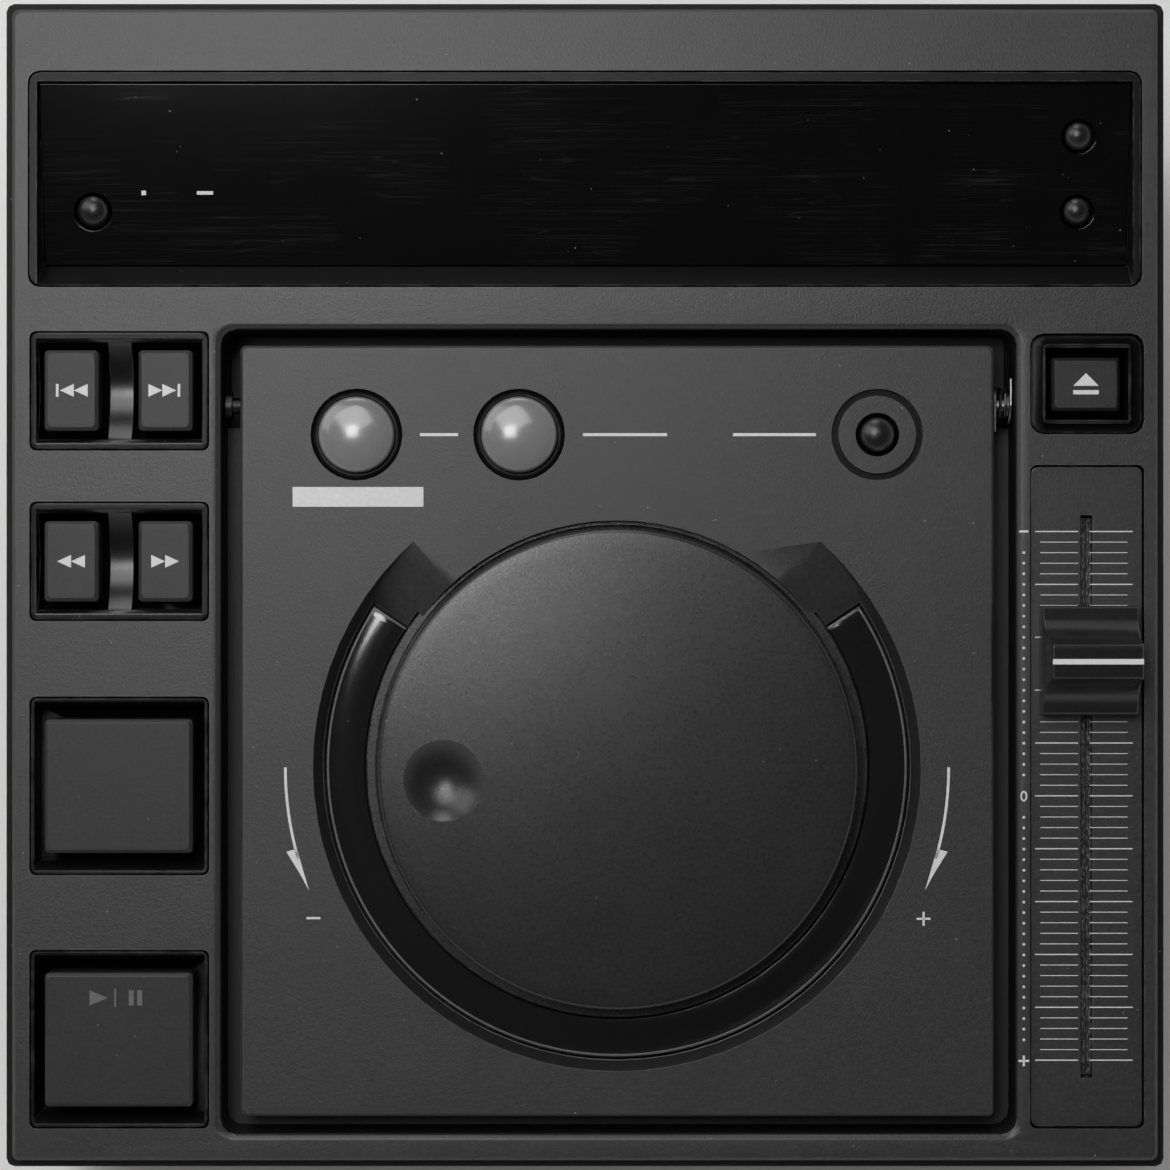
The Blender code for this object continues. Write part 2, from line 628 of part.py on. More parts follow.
def side_prism(outline, left, right):
    """Solid whose outline lies in the y-z plane, from x = left to x = right."""
    return loft([[(x, y, z) for y, z in outline] for x in (left, right)])


def turned(profile, steps=ROUND_STEPS):
    """Solid turned round the z axis; the profile of radius and height closes on the axis or on itself."""
    shape = bmesh.new()
    ring = [shape.verts.new((radius, 0, height)) for radius, height in profile]
    open_ended = abs(profile[0][0]) < WELD_DISTANCE and abs(profile[-1][0]) < WELD_DISTANCE
    pairs = list(zip(ring, ring[1:])) if open_ended else list(zip(ring, ring[1:] + ring[:1]))
    edges = [shape.edges.new(pair) for pair in pairs]
    bmesh.ops.spin(shape, geom=ring + edges, cent=(0, 0, 0), axis=(0, 0, 1),
                   angle=math.tau, steps=steps, use_merge=True)
    bmesh.ops.remove_doubles(shape, verts=shape.verts, dist=WELD_DISTANCE)
    bmesh.ops.recalc_face_normals(shape, faces=shape.faces)
    return shape


def dome(radius, edge, crown):
    """Profile points of a dome: up from the edge's height to the top on the axis."""
    angles = [math.radians(90 * step / DOME_STEPS) for step in range(DOME_STEPS + 1)]
    return [(radius * math.cos(angle), edge + crown * math.sin(angle)) for angle in angles]


def rod(radius, bottom, top, steps=SMALL_STEPS):
    """Round bar along the z axis."""
    return turned([(0, bottom), (radius, bottom), (radius, top), (0, top)], steps)


def sector(profile_at, start, end):
    """Solid swept round the z axis through an angle; profile_at gives radius and height at an angle."""
    steps = max(2, round((end - start) / ARC_STEP))
    sections = []
    for step in range(steps + 1):
        angle = start + (end - start) * step / steps
        sections.append([(radius * math.cos(angle), radius * math.sin(angle), height)
                         for radius, height in profile_at(angle)])
    return loft(sections)


def ring_sector(inner, outer, bottom, top, start, end):
    """Part of a flat ring."""
    return sector(lambda angle: [(inner, bottom), (outer, bottom), (outer, top), (inner, top)], start, end)


def moved(shape, x=0.0, y=0.0, z=0.0):
    """The same shape, shifted."""
    bmesh.ops.translate(shape, verts=shape.verts, vec=(x, y, z))
    return shape


def turned_about(shape, axis, angle):
    """The same shape, turned about an axis through the origin."""
    bmesh.ops.rotate(shape, verts=shape.verts, cent=(0, 0, 0), matrix=Matrix.Rotation(angle, 3, axis))
    return shape


def along_x(shape):
    """A shape made along z, laid along x."""
    bmesh.ops.rotate(shape, verts=shape.verts, cent=(0, 0, 0), matrix=QUARTER_ABOUT_Y)
    return shape


def along_y(shape):
    """A shape made along z, laid along y with its top to the rear."""
    bmesh.ops.rotate(shape, verts=shape.verts, cent=(0, 0, 0), matrix=QUARTER_ABOUT_X)
    return shape


# Objects


def add_frame(name, place, tilt=0.0, parent=None):
    """Empty that carries pieces; tilt turns it about x."""
    frame = bpy.data.objects.new(name, None)
    bpy.context.scene.collection.objects.link(frame)
    frame.location = place
    frame.rotation_euler = (tilt, 0, 0)
    frame.parent = parent
    return frame


def add_object(name, shape, place, parent):
    """Object that holds the shape."""
    mesh = bpy.data.meshes.new(name)
    shape.to_mesh(mesh)
    shape.free()
    piece = bpy.data.objects.new(name, mesh)
    bpy.context.scene.collection.objects.link(piece)
    piece.location = place
    piece.parent = parent
    return piece


def add_piece(name, shape, look, place=(0, 0, 0), parent=None):
    """Sub-part of the player, in its own finish."""
    piece = add_object(name, shape, place, parent)
    piece.data.materials.append(finish(look))
    piece.data.shade_smooth()
    piece.data.set_sharp_from_angle(angle=SMOOTH_ANGLE)
    return piece


def combine(piece, shape, operation, place, parent):
    """Join a shape to a piece, or cut it from the piece, through a Boolean modifier."""
    number = len(piece.modifiers) + 1
    helper = add_object(f"{piece.name}_{operation.lower()}_{number}", shape, place, parent)
    helper.hide_render = True
    helper.display_type = "WIRE"
    modifier = piece.modifiers.new(f"{operation.lower()}_{number}", "BOOLEAN")
    modifier.operation = operation
    modifier.solver = "EXACT"
    modifier.object = helper


def cut(piece, shape, place=(0, 0, 0), parent=None):
    """Cut a shape from a piece."""
    combine(piece, shape, "DIFFERENCE", place, parent)


def join(piece, shape, place=(0, 0, 0), parent=None):
    """Join a shape to a piece."""
    combine(piece, shape, "UNION", place, parent)


# Case


def panel_posts():
    """Places and radii of the posts that the case screws hold: x, v, radius."""
    side = PANEL_WIDTH / 2 - REAR_POST_SIDE_INSET
    rear = PANEL_LENGTH / 2 - REAR_POST_REAR_INSET
    return {
        "rear_left": (-side, rear, PANEL_POST_RADIUS),
        "rear_right": (side, rear, PANEL_POST_RADIUS),
        "left": (KEY_COLUMN_X, LEFT_POST_V, PANEL_POST_RADIUS),
        "right": (PANEL_WIDTH / 2 - RIGHT_POST_SIDE_INSET, RIGHT_POST_V, SLIM_POST_RADIUS),
    }


def chamber_posts():
    """Places of the posts that carry the disc chamber: x, v."""
    front = WELL_FRONT + CHAMBER_POST_FRONT_INSET
    rear = TROUGH_V - CHAMBER_POST_REAR_INSET
    return [(x, v) for v in (front, rear)
            for x in (WELL_LEFT + CHAMBER_POST_SIDE_INSET, WELL_RIGHT - CHAMBER_POST_SIDE_INSET)]


def board_posts():
    """Places of the posts under the main board, in world x and y."""
    across = MAIN_BOARD_WIDTH / 2 - BOARD_POST_INSET
    along = MAIN_BOARD_LENGTH / 2 - BOARD_POST_INSET
    return [(LID_X + sx * across, bed_y(DIAL_V, 0) + sy * along) for sx in (-1, 1) for sy in (-1, 1)]


def slider_guides():
    """Places along v of the two guides that the latch slider runs in."""
    run = SLIDER_TAB_V - SLIDER_ARM_V
    return [SLIDER_TAB_V - share * run for share in GUIDE_INSET_shares]


def case_outline(wall, bottom, rise):
    """Side outline of the case, in y and z, drawn in by a wall and raised past the panel's bed."""
    front = CASE_FRONT + wall
    rear = CASE_REAR - wall
    return [(front, bottom), (rear, bottom),
            (rear, height_above(rear, -PANEL_BED) + rise), (front, height_above(front, -PANEL_BED) + rise)]


def build_lower_case(panel_frame):
    shell = side_prism(case_outline(0.0, FOOT_HEIGHT, 0.0), -CASE_WIDTH / 2, CASE_WIDTH / 2)
    rounded = [edge for edge in shell.edges
               if all(abs(end.co.z - FOOT_HEIGHT) < WELD_DISTANCE for end in edge.verts)
               or math.hypot(*(edge.verts[0].co - edge.verts[1].co).xy) < WELD_DISTANCE]
    bmesh.ops.bevel(shell, geom=rounded, offset=CASE_EDGE, segments=2, profile=0.5,
                    affect="EDGES", material=-1)
    case = add_piece("lower_case", shell, "case_black")
    inside = CASE_WIDTH / 2 - CASE_WALL
    cut(case, side_prism(case_outline(CASE_WALL, FLOOR_TOP, OVERRUN), -inside, inside))
    for x, v, _ in panel_posts().values():
        place = (x, bed_y(v, 0), 0)
        join(case, rod(SCREW_BOSS_RADIUS, FLOOR_TOP - EMBED, FLOOR_TOP + SCREW_BOSS_HEIGHT), place)
        cut(case, rod(SCREW_SHANK_RADIUS + SEAT_GAP, 0, FLOOR_TOP + SCREW_BOSS_HEIGHT + OVERRUN), place)
        cut(case, rod(SCREW_HEAD_RADIUS + SEAT_GAP, 0, FOOT_HEIGHT + SCREW_RECESS_DEPTH), place)
    for x, v in chamber_posts():
        top = height_above(bed_y(v, DECK_BOTTOM) - CHAMBER_POST_RADIUS, DECK_BOTTOM) - SEAT_GAP
        join(case, rod(CHAMBER_POST_RADIUS, FLOOR_TOP - EMBED, top), (x, bed_y(v, DECK_BOTTOM), 0))
    for x, y in board_posts():
        top = FOOT_HEIGHT + MAIN_BOARD_HEIGHT
        join(case, rod(BOARD_POST_RADIUS, FLOOR_TOP - EMBED, top), (x, y, 0))
    guide_bottom = SLIDER_BOTTOM - SEAT_GAP - GUIDE_FLOOR
    guide_width = SLIDER_WIDTH + 2 * SEAT_GAP + 2 * GUIDE_WALL
    slot = block(SLIDER_WIDTH + 2 * SEAT_GAP, GUIDE_LENGTH + OVERRUN, SLIDER_BOTTOM - SEAT_GAP,
                 SLIDER_TOP + OVERRUN)
    for v in slider_guides():
        top = bed_height(v, guide_bottom + GUIDE_FLOOR / 2)
        post = rod(GUIDE_POST_RADIUS, FLOOR_TOP - EMBED, top)
        join(case, post, (FADER_COLUMN_X, bed_y(v, guide_bottom), 0))
        join(case, block(guide_width, GUIDE_LENGTH, guide_bottom, SLIDER_TOP), (FADER_COLUMN_X, v, 0),
             panel_frame)
        cut(case, slot.copy(), (FADER_COLUMN_X, v, 0), panel_frame)
    slot.free()
    opening = block(REAR_OPENING_WIDTH, 2 * (CASE_WALL + OVERRUN), -REAR_OPENING_HEIGHT / 2,
                    REAR_OPENING_HEIGHT / 2)
    cut(case, opening, (0, CASE_REAR - CASE_WALL / 2, REAR_MIDDLE_Z))
    return case


def build_feet():
    top = FOOT_HEIGHT - SEAT_GAP
    profile = [(FOOT_RECESS_RADIUS, 0), (FOOT_SOLE_RADIUS, 0), (FOOT_RADIUS, FOOT_TAPER_HEIGHT),
               (FOOT_RADIUS, top),
               (0, top), (0, FOOT_RECESS_DEPTH), (FOOT_RECESS_RADIUS, FOOT_RECESS_DEPTH)]
    across = CASE_WIDTH / 2 - FOOT_INSET
    for end, y in (("front", CASE_FRONT + FOOT_INSET), ("rear", CASE_REAR - FOOT_INSET)):
        for side, x in (("left", -across), ("right", across)):
            add_piece(f"foot_{end}_{side}", turned(profile), "rubber", (x, y, 0))


def build_case_screws():
    head_bottom = FOOT_HEIGHT + SCREW_RECESS_DEPTH - SEAT_GAP - SCREW_HEAD_HEIGHT
    head_top = head_bottom + SCREW_HEAD_HEIGHT
    profile = [(0, head_bottom), (SCREW_HEAD_RADIUS, head_bottom), (SCREW_HEAD_RADIUS, head_top),
               (SCREW_SHANK_RADIUS, head_top), (SCREW_SHANK_RADIUS, head_top + SCREW_SHANK_LENGTH),
               (0, head_top + SCREW_SHANK_LENGTH)]
    for name, (x, v, _) in panel_posts().items():
        add_piece(f"case_screw_{name}", turned(profile, SMALL_STEPS), "steel", (x, bed_y(v, 0), 0))


def well_cutter():
    """Cutter for the lid well, rolled outwards at the panel's top face."""
    levels = [(WELL_WIDTH, WELL_LENGTH, -WELL_DEPTH - OVERRUN)]
    for step in range(CORNER_STEPS + 1):
        angle = math.radians(90 * step / CORNER_STEPS)
        grow = 2 * WELL_ROLL * (1 - math.cos(angle))
        levels.append((WELL_WIDTH + grow, WELL_LENGTH + grow, WELL_ROLL * (math.sin(angle) - 1)))
    levels.append((*levels[-1][:2], OVERRUN))
    return stack(levels, WELL_CORNER)


def build_top_panel(panel_frame):
    plate = stack([(PANEL_WIDTH, PANEL_LENGTH, -PANEL_THICKNESS), (PANEL_WIDTH, PANEL_LENGTH, -PANEL_EDGE),
                   (PANEL_WIDTH - 2 * PANEL_EDGE, PANEL_LENGTH - 2 * PANEL_EDGE, 0)], PANEL_CORNER)
    panel = add_piece("top_panel", plate, "panel_grey", parent=panel_frame)
    walls = block(WELL_WIDTH + 2 * WELL_WALL, WELL_LENGTH + 2 * WELL_WALL, -WELL_DEPTH,
                  -PANEL_THICKNESS + EMBED, WELL_CORNER)
    join(panel, walls, (WELL_X, WELL_V, 0), panel_frame)
    post_bottom = FLOOR_TOP + SCREW_BOSS_HEIGHT + SEAT_GAP
    for x, v, radius in panel_posts().values():
        top = bed_height(v, -PANEL_THICKNESS / 2)
        join(panel, rod(radius, post_bottom, top), (x, bed_y(v, 0), 0))
    for x, v, radius in panel_posts().values():
        pilot = rod(SCREW_SHANK_RADIUS + SEAT_GAP, post_bottom - OVERRUN, post_bottom + SCREW_SHANK_LENGTH)
        cut(panel, pilot, (x, bed_y(v, 0), 0))
    cut(panel, well_cutter(), (WELL_X, WELL_V, 0), panel_frame)
    for width, length, corner, x, v in (
            (DISPLAY_WIDTH, DISPLAY_LENGTH, DISPLAY_CORNER, 0, DISPLAY_V),
            (KEY_COLUMN_WIDTH, SEARCH_BEZEL_LENGTH, BEZEL_CORNER, KEY_COLUMN_X, TRACK_V),
            (KEY_COLUMN_WIDTH, SEARCH_BEZEL_LENGTH, BEZEL_CORNER, KEY_COLUMN_X, SEARCH_V),
            (KEY_COLUMN_WIDTH, CUE_BEZEL_LENGTH, BEZEL_CORNER, KEY_COLUMN_X, CUE_V),
            (KEY_COLUMN_WIDTH, CUE_BEZEL_LENGTH, BEZEL_CORNER, KEY_COLUMN_X, PLAY_V),
            (FADER_COLUMN_WIDTH, OPEN_LENGTH, OPEN_CORNER, FADER_COLUMN_X, OPEN_V),
            (FADER_COLUMN_WIDTH, FADER_REAR - FADER_FRONT, FADER_CORNER, FADER_COLUMN_X, FADER_V)):
        hole = block(width, length, -PANEL_THICKNESS - OVERRUN, OVERRUN, corner)
        cut(panel, hole, (x, v, 0), panel_frame)
    reach = WELL_WIDTH / 2 + WELL_WALL + OVERRUN
    pin_hole = along_x(rod(HINGE_PIN_RADIUS + SEAT_GAP, -reach, reach))
    cut(panel, pin_hole, (WELL_X, HINGE_V, -HINGE_DEPTH), panel_frame)


# Display


def display_tilt():
    """Angle of the window over the panel: its front edge lies deeper than its rear edge."""
    run = DISPLAY_LENGTH - DISPLAY_BAND - DISPLAY_REAR_RIM
    return math.atan2(DISPLAY_BAND_DROP - DISPLAY_TOP_DROP, run)


def display_glass_size():
    """Width and length of the window sheet."""
    run = DISPLAY_LENGTH - DISPLAY_BAND - DISPLAY_REAR_RIM
    length = run / math.cos(display_tilt()) - 2 * SEAT_GAP
    return DISPLAY_WIDTH - 2 * SEAT_GAP - 2 * DISPLAY_RIM, length


def add_display_frame(panel_frame):
    """Empty in the middle of the window's top face, square to the window."""
    v = (DISPLAY_FRONT + DISPLAY_BAND + DISPLAY_FRONT + DISPLAY_LENGTH - DISPLAY_REAR_RIM) / 2
    w = -(DISPLAY_BAND_DROP + DISPLAY_TOP_DROP) / 2 - DISPLAY_LIP
    return add_frame("display_frame", (0, v, w), display_tilt(), panel_frame)


def display_buttons():
    """Places on the window, radii and names of the three push buttons."""
    width, length = display_glass_size()
    side = width / 2 - DISPLAY_BUTTON_SIDE_INSET
    low = -length / 2 + DISPLAY_BUTTON_FRONT_INSET
    return {
        "time_button": (-side, low, TIME_BUTTON_RADIUS),
        "key_hold_button": (side, low, TEMPO_BUTTON_RADIUS),
        "tempo_range_button": (side, low + DISPLAY_BUTTON_SPACING, TEMPO_BUTTON_RADIUS),
    }


def build_display(panel_frame, display_frame):
    body = block(DISPLAY_WIDTH - 2 * SEAT_GAP, DISPLAY_LENGTH - 2 * SEAT_GAP, -DISPLAY_DEPTH, 0,
                 DISPLAY_CORNER)
    bezel = add_piece("display_bezel", body, "bezel_black", (0, DISPLAY_V, 0), panel_frame)
    width, length = display_glass_size()
    front = -DISPLAY_LENGTH / 2
    rear = DISPLAY_LENGTH / 2 - DISPLAY_REAR_RIM
    scoop = [(front + DISPLAY_LIP, OVERRUN), (front + DISPLAY_LIP, -DISPLAY_LIP),
             (front + DISPLAY_BAND, -DISPLAY_BAND_DROP), (rear, -DISPLAY_TOP_DROP), (rear, OVERRUN)]
    half = width / 2 + SEAT_GAP
    cut(bezel, side_prism(scoop, -half, half), (0, DISPLAY_V, 0), panel_frame)
    seat = block(width + 2 * SEAT_GAP, length + 2 * SEAT_GAP, -DISPLAY_GLASS - SEAT_GAP, OVERRUN)
    cut(bezel, seat, parent=display_frame)
    module_width = DISPLAY_WIDTH - 2 * MODULE_SIDE_INSET
    cut(bezel, block(module_width, MODULE_LENGTH, -2 * DISPLAY_DEPTH, OVERRUN), parent=display_frame)
    sheet = block(width, length, -DISPLAY_GLASS, 0)
    window = add_piece("display_window", sheet, "display_glass", parent=display_frame)
    for x, v, radius in display_buttons().values():
        hole = rod(radius + DISPLAY_BUTTON_CLEARANCE, -2 * DISPLAY_DEPTH, OVERRUN)
        cut(bezel, hole.copy(), (x, v, 0), display_frame)
        cut(window, hole, (x, v, 0), display_frame)
    top = -DISPLAY_GLASS - 2 * SEAT_GAP
    module = block(module_width - 2 * SEAT_GAP, MODULE_LENGTH - 2 * SEAT_GAP, top - MODULE_HEIGHT, top)
    add_piece("display_module", module, "circuit_board", parent=display_frame)
    for name, (x, v, radius) in display_buttons().items():
        add_piece(name, display_button(radius), "button_dark", (x, v, 0), display_frame)


def display_button(radius):
    """Domed push button with a flange under the bezel."""
    flange = radius + DISPLAY_BUTTON_CLEARANCE + DISPLAY_BUTTON_FLANGE
    flange_top = -DISPLAY_DEPTH - SEAT_GAP
    profile = [(0, flange_top - DISPLAY_BUTTON_FLANGE), (flange, flange_top - DISPLAY_BUTTON_FLANGE),
               (flange, flange_top), (radius, flange_top)]
    return turned(profile + dome(radius, DISPLAY_BUTTON_EDGE, DISPLAY_BUTTON_CROWN), SMALL_STEPS)


# Keys in the left column


def stepped_well(width, length, gap, parts):
    """Cutter for one key: well, stem guide and switch cavity; parts are width and length of the cavity."""
    well = (width + 2 * gap, length + 2 * gap)
    stem = (KEY_STEM_WIDTH + 2 * SEAT_GAP, KEY_STEM_LENGTH + 2 * SEAT_GAP)
    guide_bottom = -BEZEL_WELL_DEPTH - BEZEL_GUIDE
    return stack([(*parts, -BEZEL_DEPTH - OVERRUN), (*parts, guide_bottom), (*stem, guide_bottom),
                  (*stem, -BEZEL_WELL_DEPTH), (*well, -BEZEL_WELL_DEPTH), (*well, OVERRUN)])


def key_shape(width, length, rise):
    """Key cap with a bevelled top edge and its stem."""
    return stack([(KEY_STEM_WIDTH, KEY_STEM_LENGTH, -KEY_STEM_REACH),
                  (KEY_STEM_WIDTH, KEY_STEM_LENGTH, -KEY_DEPTH),
                  (width, length, -KEY_DEPTH), (width, length, rise - KEY_EDGE),
                  (width - 2 * KEY_EDGE, length - 2 * KEY_EDGE, rise)], KEY_CORNER)


def build_search_row(name, back_key, forward_key, v, panel_frame):
    """Bezel with a concave face and two small keys."""
    width = KEY_COLUMN_WIDTH - 2 * SEAT_GAP
    length = SEARCH_BEZEL_LENGTH - 2 * SEAT_GAP
    bezel = add_piece(name, block(width, length, -BEZEL_DEPTH, 0, BEZEL_CORNER), "bezel_black",
                      (KEY_COLUMN_X, v, 0), panel_frame)
    chord = length / 2 - SCOOP_RIM
    radius = (chord ** 2 + SCOOP_DEPTH ** 2) / (2 * SCOOP_DEPTH)
    circle = [(radius * math.cos(math.tau * step / ROUND_STEPS),
               radius * math.sin(math.tau * step / ROUND_STEPS))
              for step in range(ROUND_STEPS)]
    half = width / 2 - SCOOP_RIM
    cut(bezel, side_prism(circle, -half, half), (KEY_COLUMN_X, v, radius - SCOOP_DEPTH), panel_frame)
    cavity = (SEARCH_KEY_SPACING - BEZEL_CAVITY_MARGIN, length - 2 * BEZEL_CAVITY_MARGIN)
    for key, side in ((back_key, -1), (forward_key, 1)):
        place = (KEY_COLUMN_X + side * SEARCH_KEY_SPACING / 2, v, 0)
        cut(bezel, stepped_well(SEARCH_KEY_WIDTH, SEARCH_KEY_LENGTH, SEARCH_WELL_GAP, cavity), place,
            panel_frame)
        add_piece(key, key_shape(SEARCH_KEY_WIDTH, SEARCH_KEY_LENGTH, SEARCH_KEY_RISE), "key_grey", place,
                  panel_frame)


def build_cue_row(name, key, v, panel_frame):
    """Bezel with sloping front and rear bands and one large square key."""
    width = KEY_COLUMN_WIDTH - 2 * SEAT_GAP
    length = CUE_BEZEL_LENGTH - 2 * SEAT_GAP
    place = (KEY_COLUMN_X, v, 0)
    bezel = add_piece(name, block(width, length, -BEZEL_DEPTH, 0, BEZEL_CORNER), "bezel_black", place,
                      panel_frame)
    well_width = CUE_KEY_WIDTH + 2 * CUE_WELL_GAP
    well_length = CUE_KEY_LENGTH + 2 * CUE_WELL_GAP
    mouth = stack([(well_width, well_length, -CUE_BAND_DEPTH - OVERRUN),
                   (well_width, well_length, -CUE_BAND_DEPTH),
                   (width - 2 * CUE_RIM, length - 2 * CUE_RIM, 0), (width - 2 * CUE_RIM,
                                                                    length - 2 * CUE_RIM, OVERRUN)])
    cut(bezel, mouth, place, panel_frame)
    cavity = (width - 2 * BEZEL_CAVITY_MARGIN, length - 2 * BEZEL_CAVITY_MARGIN)
    cut(bezel, stepped_well(CUE_KEY_WIDTH, CUE_KEY_LENGTH, CUE_WELL_GAP, cavity), place, panel_frame)
    add_piece(key, key_shape(CUE_KEY_WIDTH, CUE_KEY_LENGTH, CUE_KEY_RISE), "key_grey", place, panel_frame)


def build_key_board(panel_frame):
    front = PLAY_V - CUE_BEZEL_LENGTH / 2
    rear = TRACK_V + SEARCH_BEZEL_LENGTH / 2
    middle = (front + rear) / 2
    bottom = KEY_BOARD_TOP - BOARD_THICKNESS
    board = add_piece("key_board", block(KEY_COLUMN_WIDTH - 2 * SEAT_GAP, rear - front, bottom,
                                         KEY_BOARD_TOP),
                      "circuit_board", (KEY_COLUMN_X, middle, 0), panel_frame)
    spots = [(side * SEARCH_KEY_SPACING / 2, v) for v in (TRACK_V, SEARCH_V) for side in (-1, 1)]
    spots += [(0, CUE_V), (0, PLAY_V)]
    for x, v in spots:
        switch = block(SWITCH_SIZE, SWITCH_SIZE, KEY_BOARD_TOP - EMBED, SWITCH_TOP, SWITCH_CORNER)
        join(board, switch, (KEY_COLUMN_X + x, v, 0), panel_frame)
    x, v, radius = panel_posts()["left"]
    hole = rod(radius + OVERRUN, FLOOR_TOP, PANEL_MIDDLE_HEIGHT)
    cut(board, hole, (x, bed_y(v, 0), 0))


# Open key and latch


def build_open_row(panel_frame):
    place = (FADER_COLUMN_X, OPEN_V, 0)
    width = FADER_COLUMN_WIDTH - 2 * SEAT_GAP
    length = OPEN_LENGTH - 2 * SEAT_GAP
    base = block(width, length, -OPEN_BEZEL_DEPTH, -OPEN_GROOVE_DEPTH, OPEN_CORNER)
    bezel = add_piece("open_bezel", base, "bezel_black", place, panel_frame)
    collar = stack([(OPEN_COLLAR_WIDTH, OPEN_COLLAR_LENGTH, -OPEN_GROOVE_DEPTH - EMBED),
                    (OPEN_COLLAR_WIDTH - 2 * OPEN_COLLAR_DRAFT, OPEN_COLLAR_LENGTH - 2 * OPEN_COLLAR_DRAFT,
                     -OPEN_COLLAR_DROP)], KEY_CORNER)
    join(bezel, collar, place, panel_frame)
    stem_hole = OPEN_STEM_SIZE + 2 * SEAT_GAP
    guide_top = -OPEN_KEY_DROP - OPEN_KEY_DEPTH - OPEN_KEY_TRAVEL - SEAT_GAP
    wells = stack([(stem_hole, stem_hole, -OPEN_BEZEL_DEPTH - OVERRUN), (stem_hole, stem_hole, guide_top),
                   (OPEN_HOLE_WIDTH, OPEN_HOLE_LENGTH, guide_top), (OPEN_HOLE_WIDTH, OPEN_HOLE_LENGTH,
                                                                    OVERRUN)])
    cut(bezel, wells, place, panel_frame)
    ear_x = CRANK_THICKNESS / 2 + SEAT_GAP
    ear_bottom = CRANK_LEVEL - CRANK_EAR_LENGTH / 2
    ear = block(CRANK_EAR_THICKNESS, CRANK_EAR_LENGTH, ear_bottom, -OPEN_BEZEL_DEPTH + EMBED)
    ear_place = (FADER_COLUMN_X + ear_x + CRANK_EAR_THICKNESS / 2, CRANK_V, 0)
    join(bezel, ear, ear_place, panel_frame)
    pin = along_x(rod(CRANK_PIN_RADIUS, -CRANK_THICKNESS / 2, ear_x + EMBED))
    join(bezel, pin, (FADER_COLUMN_X, CRANK_V, CRANK_LEVEL), panel_frame)
    top = -OPEN_KEY_DROP
    key = stack([(OPEN_NUB_SIZE, OPEN_NUB_SIZE, -OPEN_NUB_REACH),
                 (OPEN_NUB_SIZE, OPEN_NUB_SIZE, -OPEN_STEM_REACH),
                 (OPEN_STEM_SIZE, OPEN_STEM_SIZE, -OPEN_STEM_REACH), (OPEN_STEM_SIZE, OPEN_STEM_SIZE,
                                                                      top - OPEN_KEY_DEPTH),
                 (OPEN_KEY_WIDTH, OPEN_KEY_LENGTH, top - OPEN_KEY_DEPTH), (OPEN_KEY_WIDTH, OPEN_KEY_LENGTH,
                                                                           top - KEY_EDGE),
                 (OPEN_KEY_WIDTH - 2 * KEY_EDGE, OPEN_KEY_LENGTH - 2 * KEY_EDGE, top)], SWITCH_CORNER)
    add_piece("open_key", key, "key_grey", place, panel_frame)


def build_latch(panel_frame):
    bar = CRANK_BAR / 2
    reach = CRANK_ARM + OPEN_NUB_SIZE / 2
    outline = [(-bar, bar), (-bar, -CRANK_DROP), (bar, -CRANK_DROP), (bar, -bar), (reach, -bar),
               (reach, bar)]
    crank_place = (FADER_COLUMN_X, CRANK_V, CRANK_LEVEL)
    crank = add_piece("latch_crank", side_prism(outline, -CRANK_THICKNESS / 2, CRANK_THICKNESS / 2),
                      "zinc_sheet",
                      crank_place, panel_frame)
    hub = along_x(rod(CRANK_HUB_RADIUS, -CRANK_THICKNESS / 2, CRANK_THICKNESS / 2))
    join(crank, hub, crank_place, panel_frame)
    bore = along_x(rod(CRANK_PIN_RADIUS + SEAT_GAP, -CRANK_THICKNESS, CRANK_THICKNESS))
    cut(crank, bore, crank_place, panel_frame)
    rear = SLIDER_TAB_V
    front = SLIDER_ARM_V - SLIDER_ARM_LENGTH / 2
    strip = block(SLIDER_WIDTH, rear - front, SLIDER_BOTTOM, SLIDER_TOP)
    slider = add_piece("latch_slider", moved(strip, y=(front - rear) / 2), "zinc_sheet",
                       (FADER_COLUMN_X, rear, 0), panel_frame)
    tab = block(SLIDER_WIDTH, SLIDER_THICKNESS, SLIDER_TOP - EMBED, SLIDER_TOP + SLIDER_TAB_HEIGHT)
    join(slider, tab, (FADER_COLUMN_X, rear - SLIDER_THICKNESS / 2, 0), panel_frame)
    arm_left = STRIKER_X - SLIDER_NOSE_WIDTH / 2
    arm_right = FADER_COLUMN_X + SLIDER_WIDTH / 2 - EMBED
    arm = block(arm_right - arm_left, SLIDER_ARM_LENGTH - EMBED, SLIDER_BOTTOM + EMBED / 2,
                SLIDER_TOP - EMBED / 2)
    join(slider, arm, ((arm_left + arm_right) / 2, SLIDER_ARM_V, 0), panel_frame)
    sill = STRIKER_BOTTOM + STRIKER_SILL
    tip_bottom = sill + (STRIKER_WINDOW_HEIGHT - SLIDER_TIP_HEIGHT) / 2
    nose_rear = SLIDER_NOSE_LENGTH / 2
    tip = nose_rear + SLIDER_TIP_LENGTH
    nose = [(-nose_rear, SLIDER_TOP - EMBED), (nose_rear, SLIDER_TOP - EMBED), (nose_rear, tip_bottom),
            (tip, tip_bottom), (tip, tip_bottom + SLIDER_TIP_HEIGHT), (-nose_rear,
                                                                       tip_bottom + SLIDER_TIP_HEIGHT)]
    half = SLIDER_NOSE_WIDTH / 2 - EMBED
    join(slider, side_prism(nose, -half, half), (STRIKER_X, SLIDER_ARM_V, 0), panel_frame)


# Fader


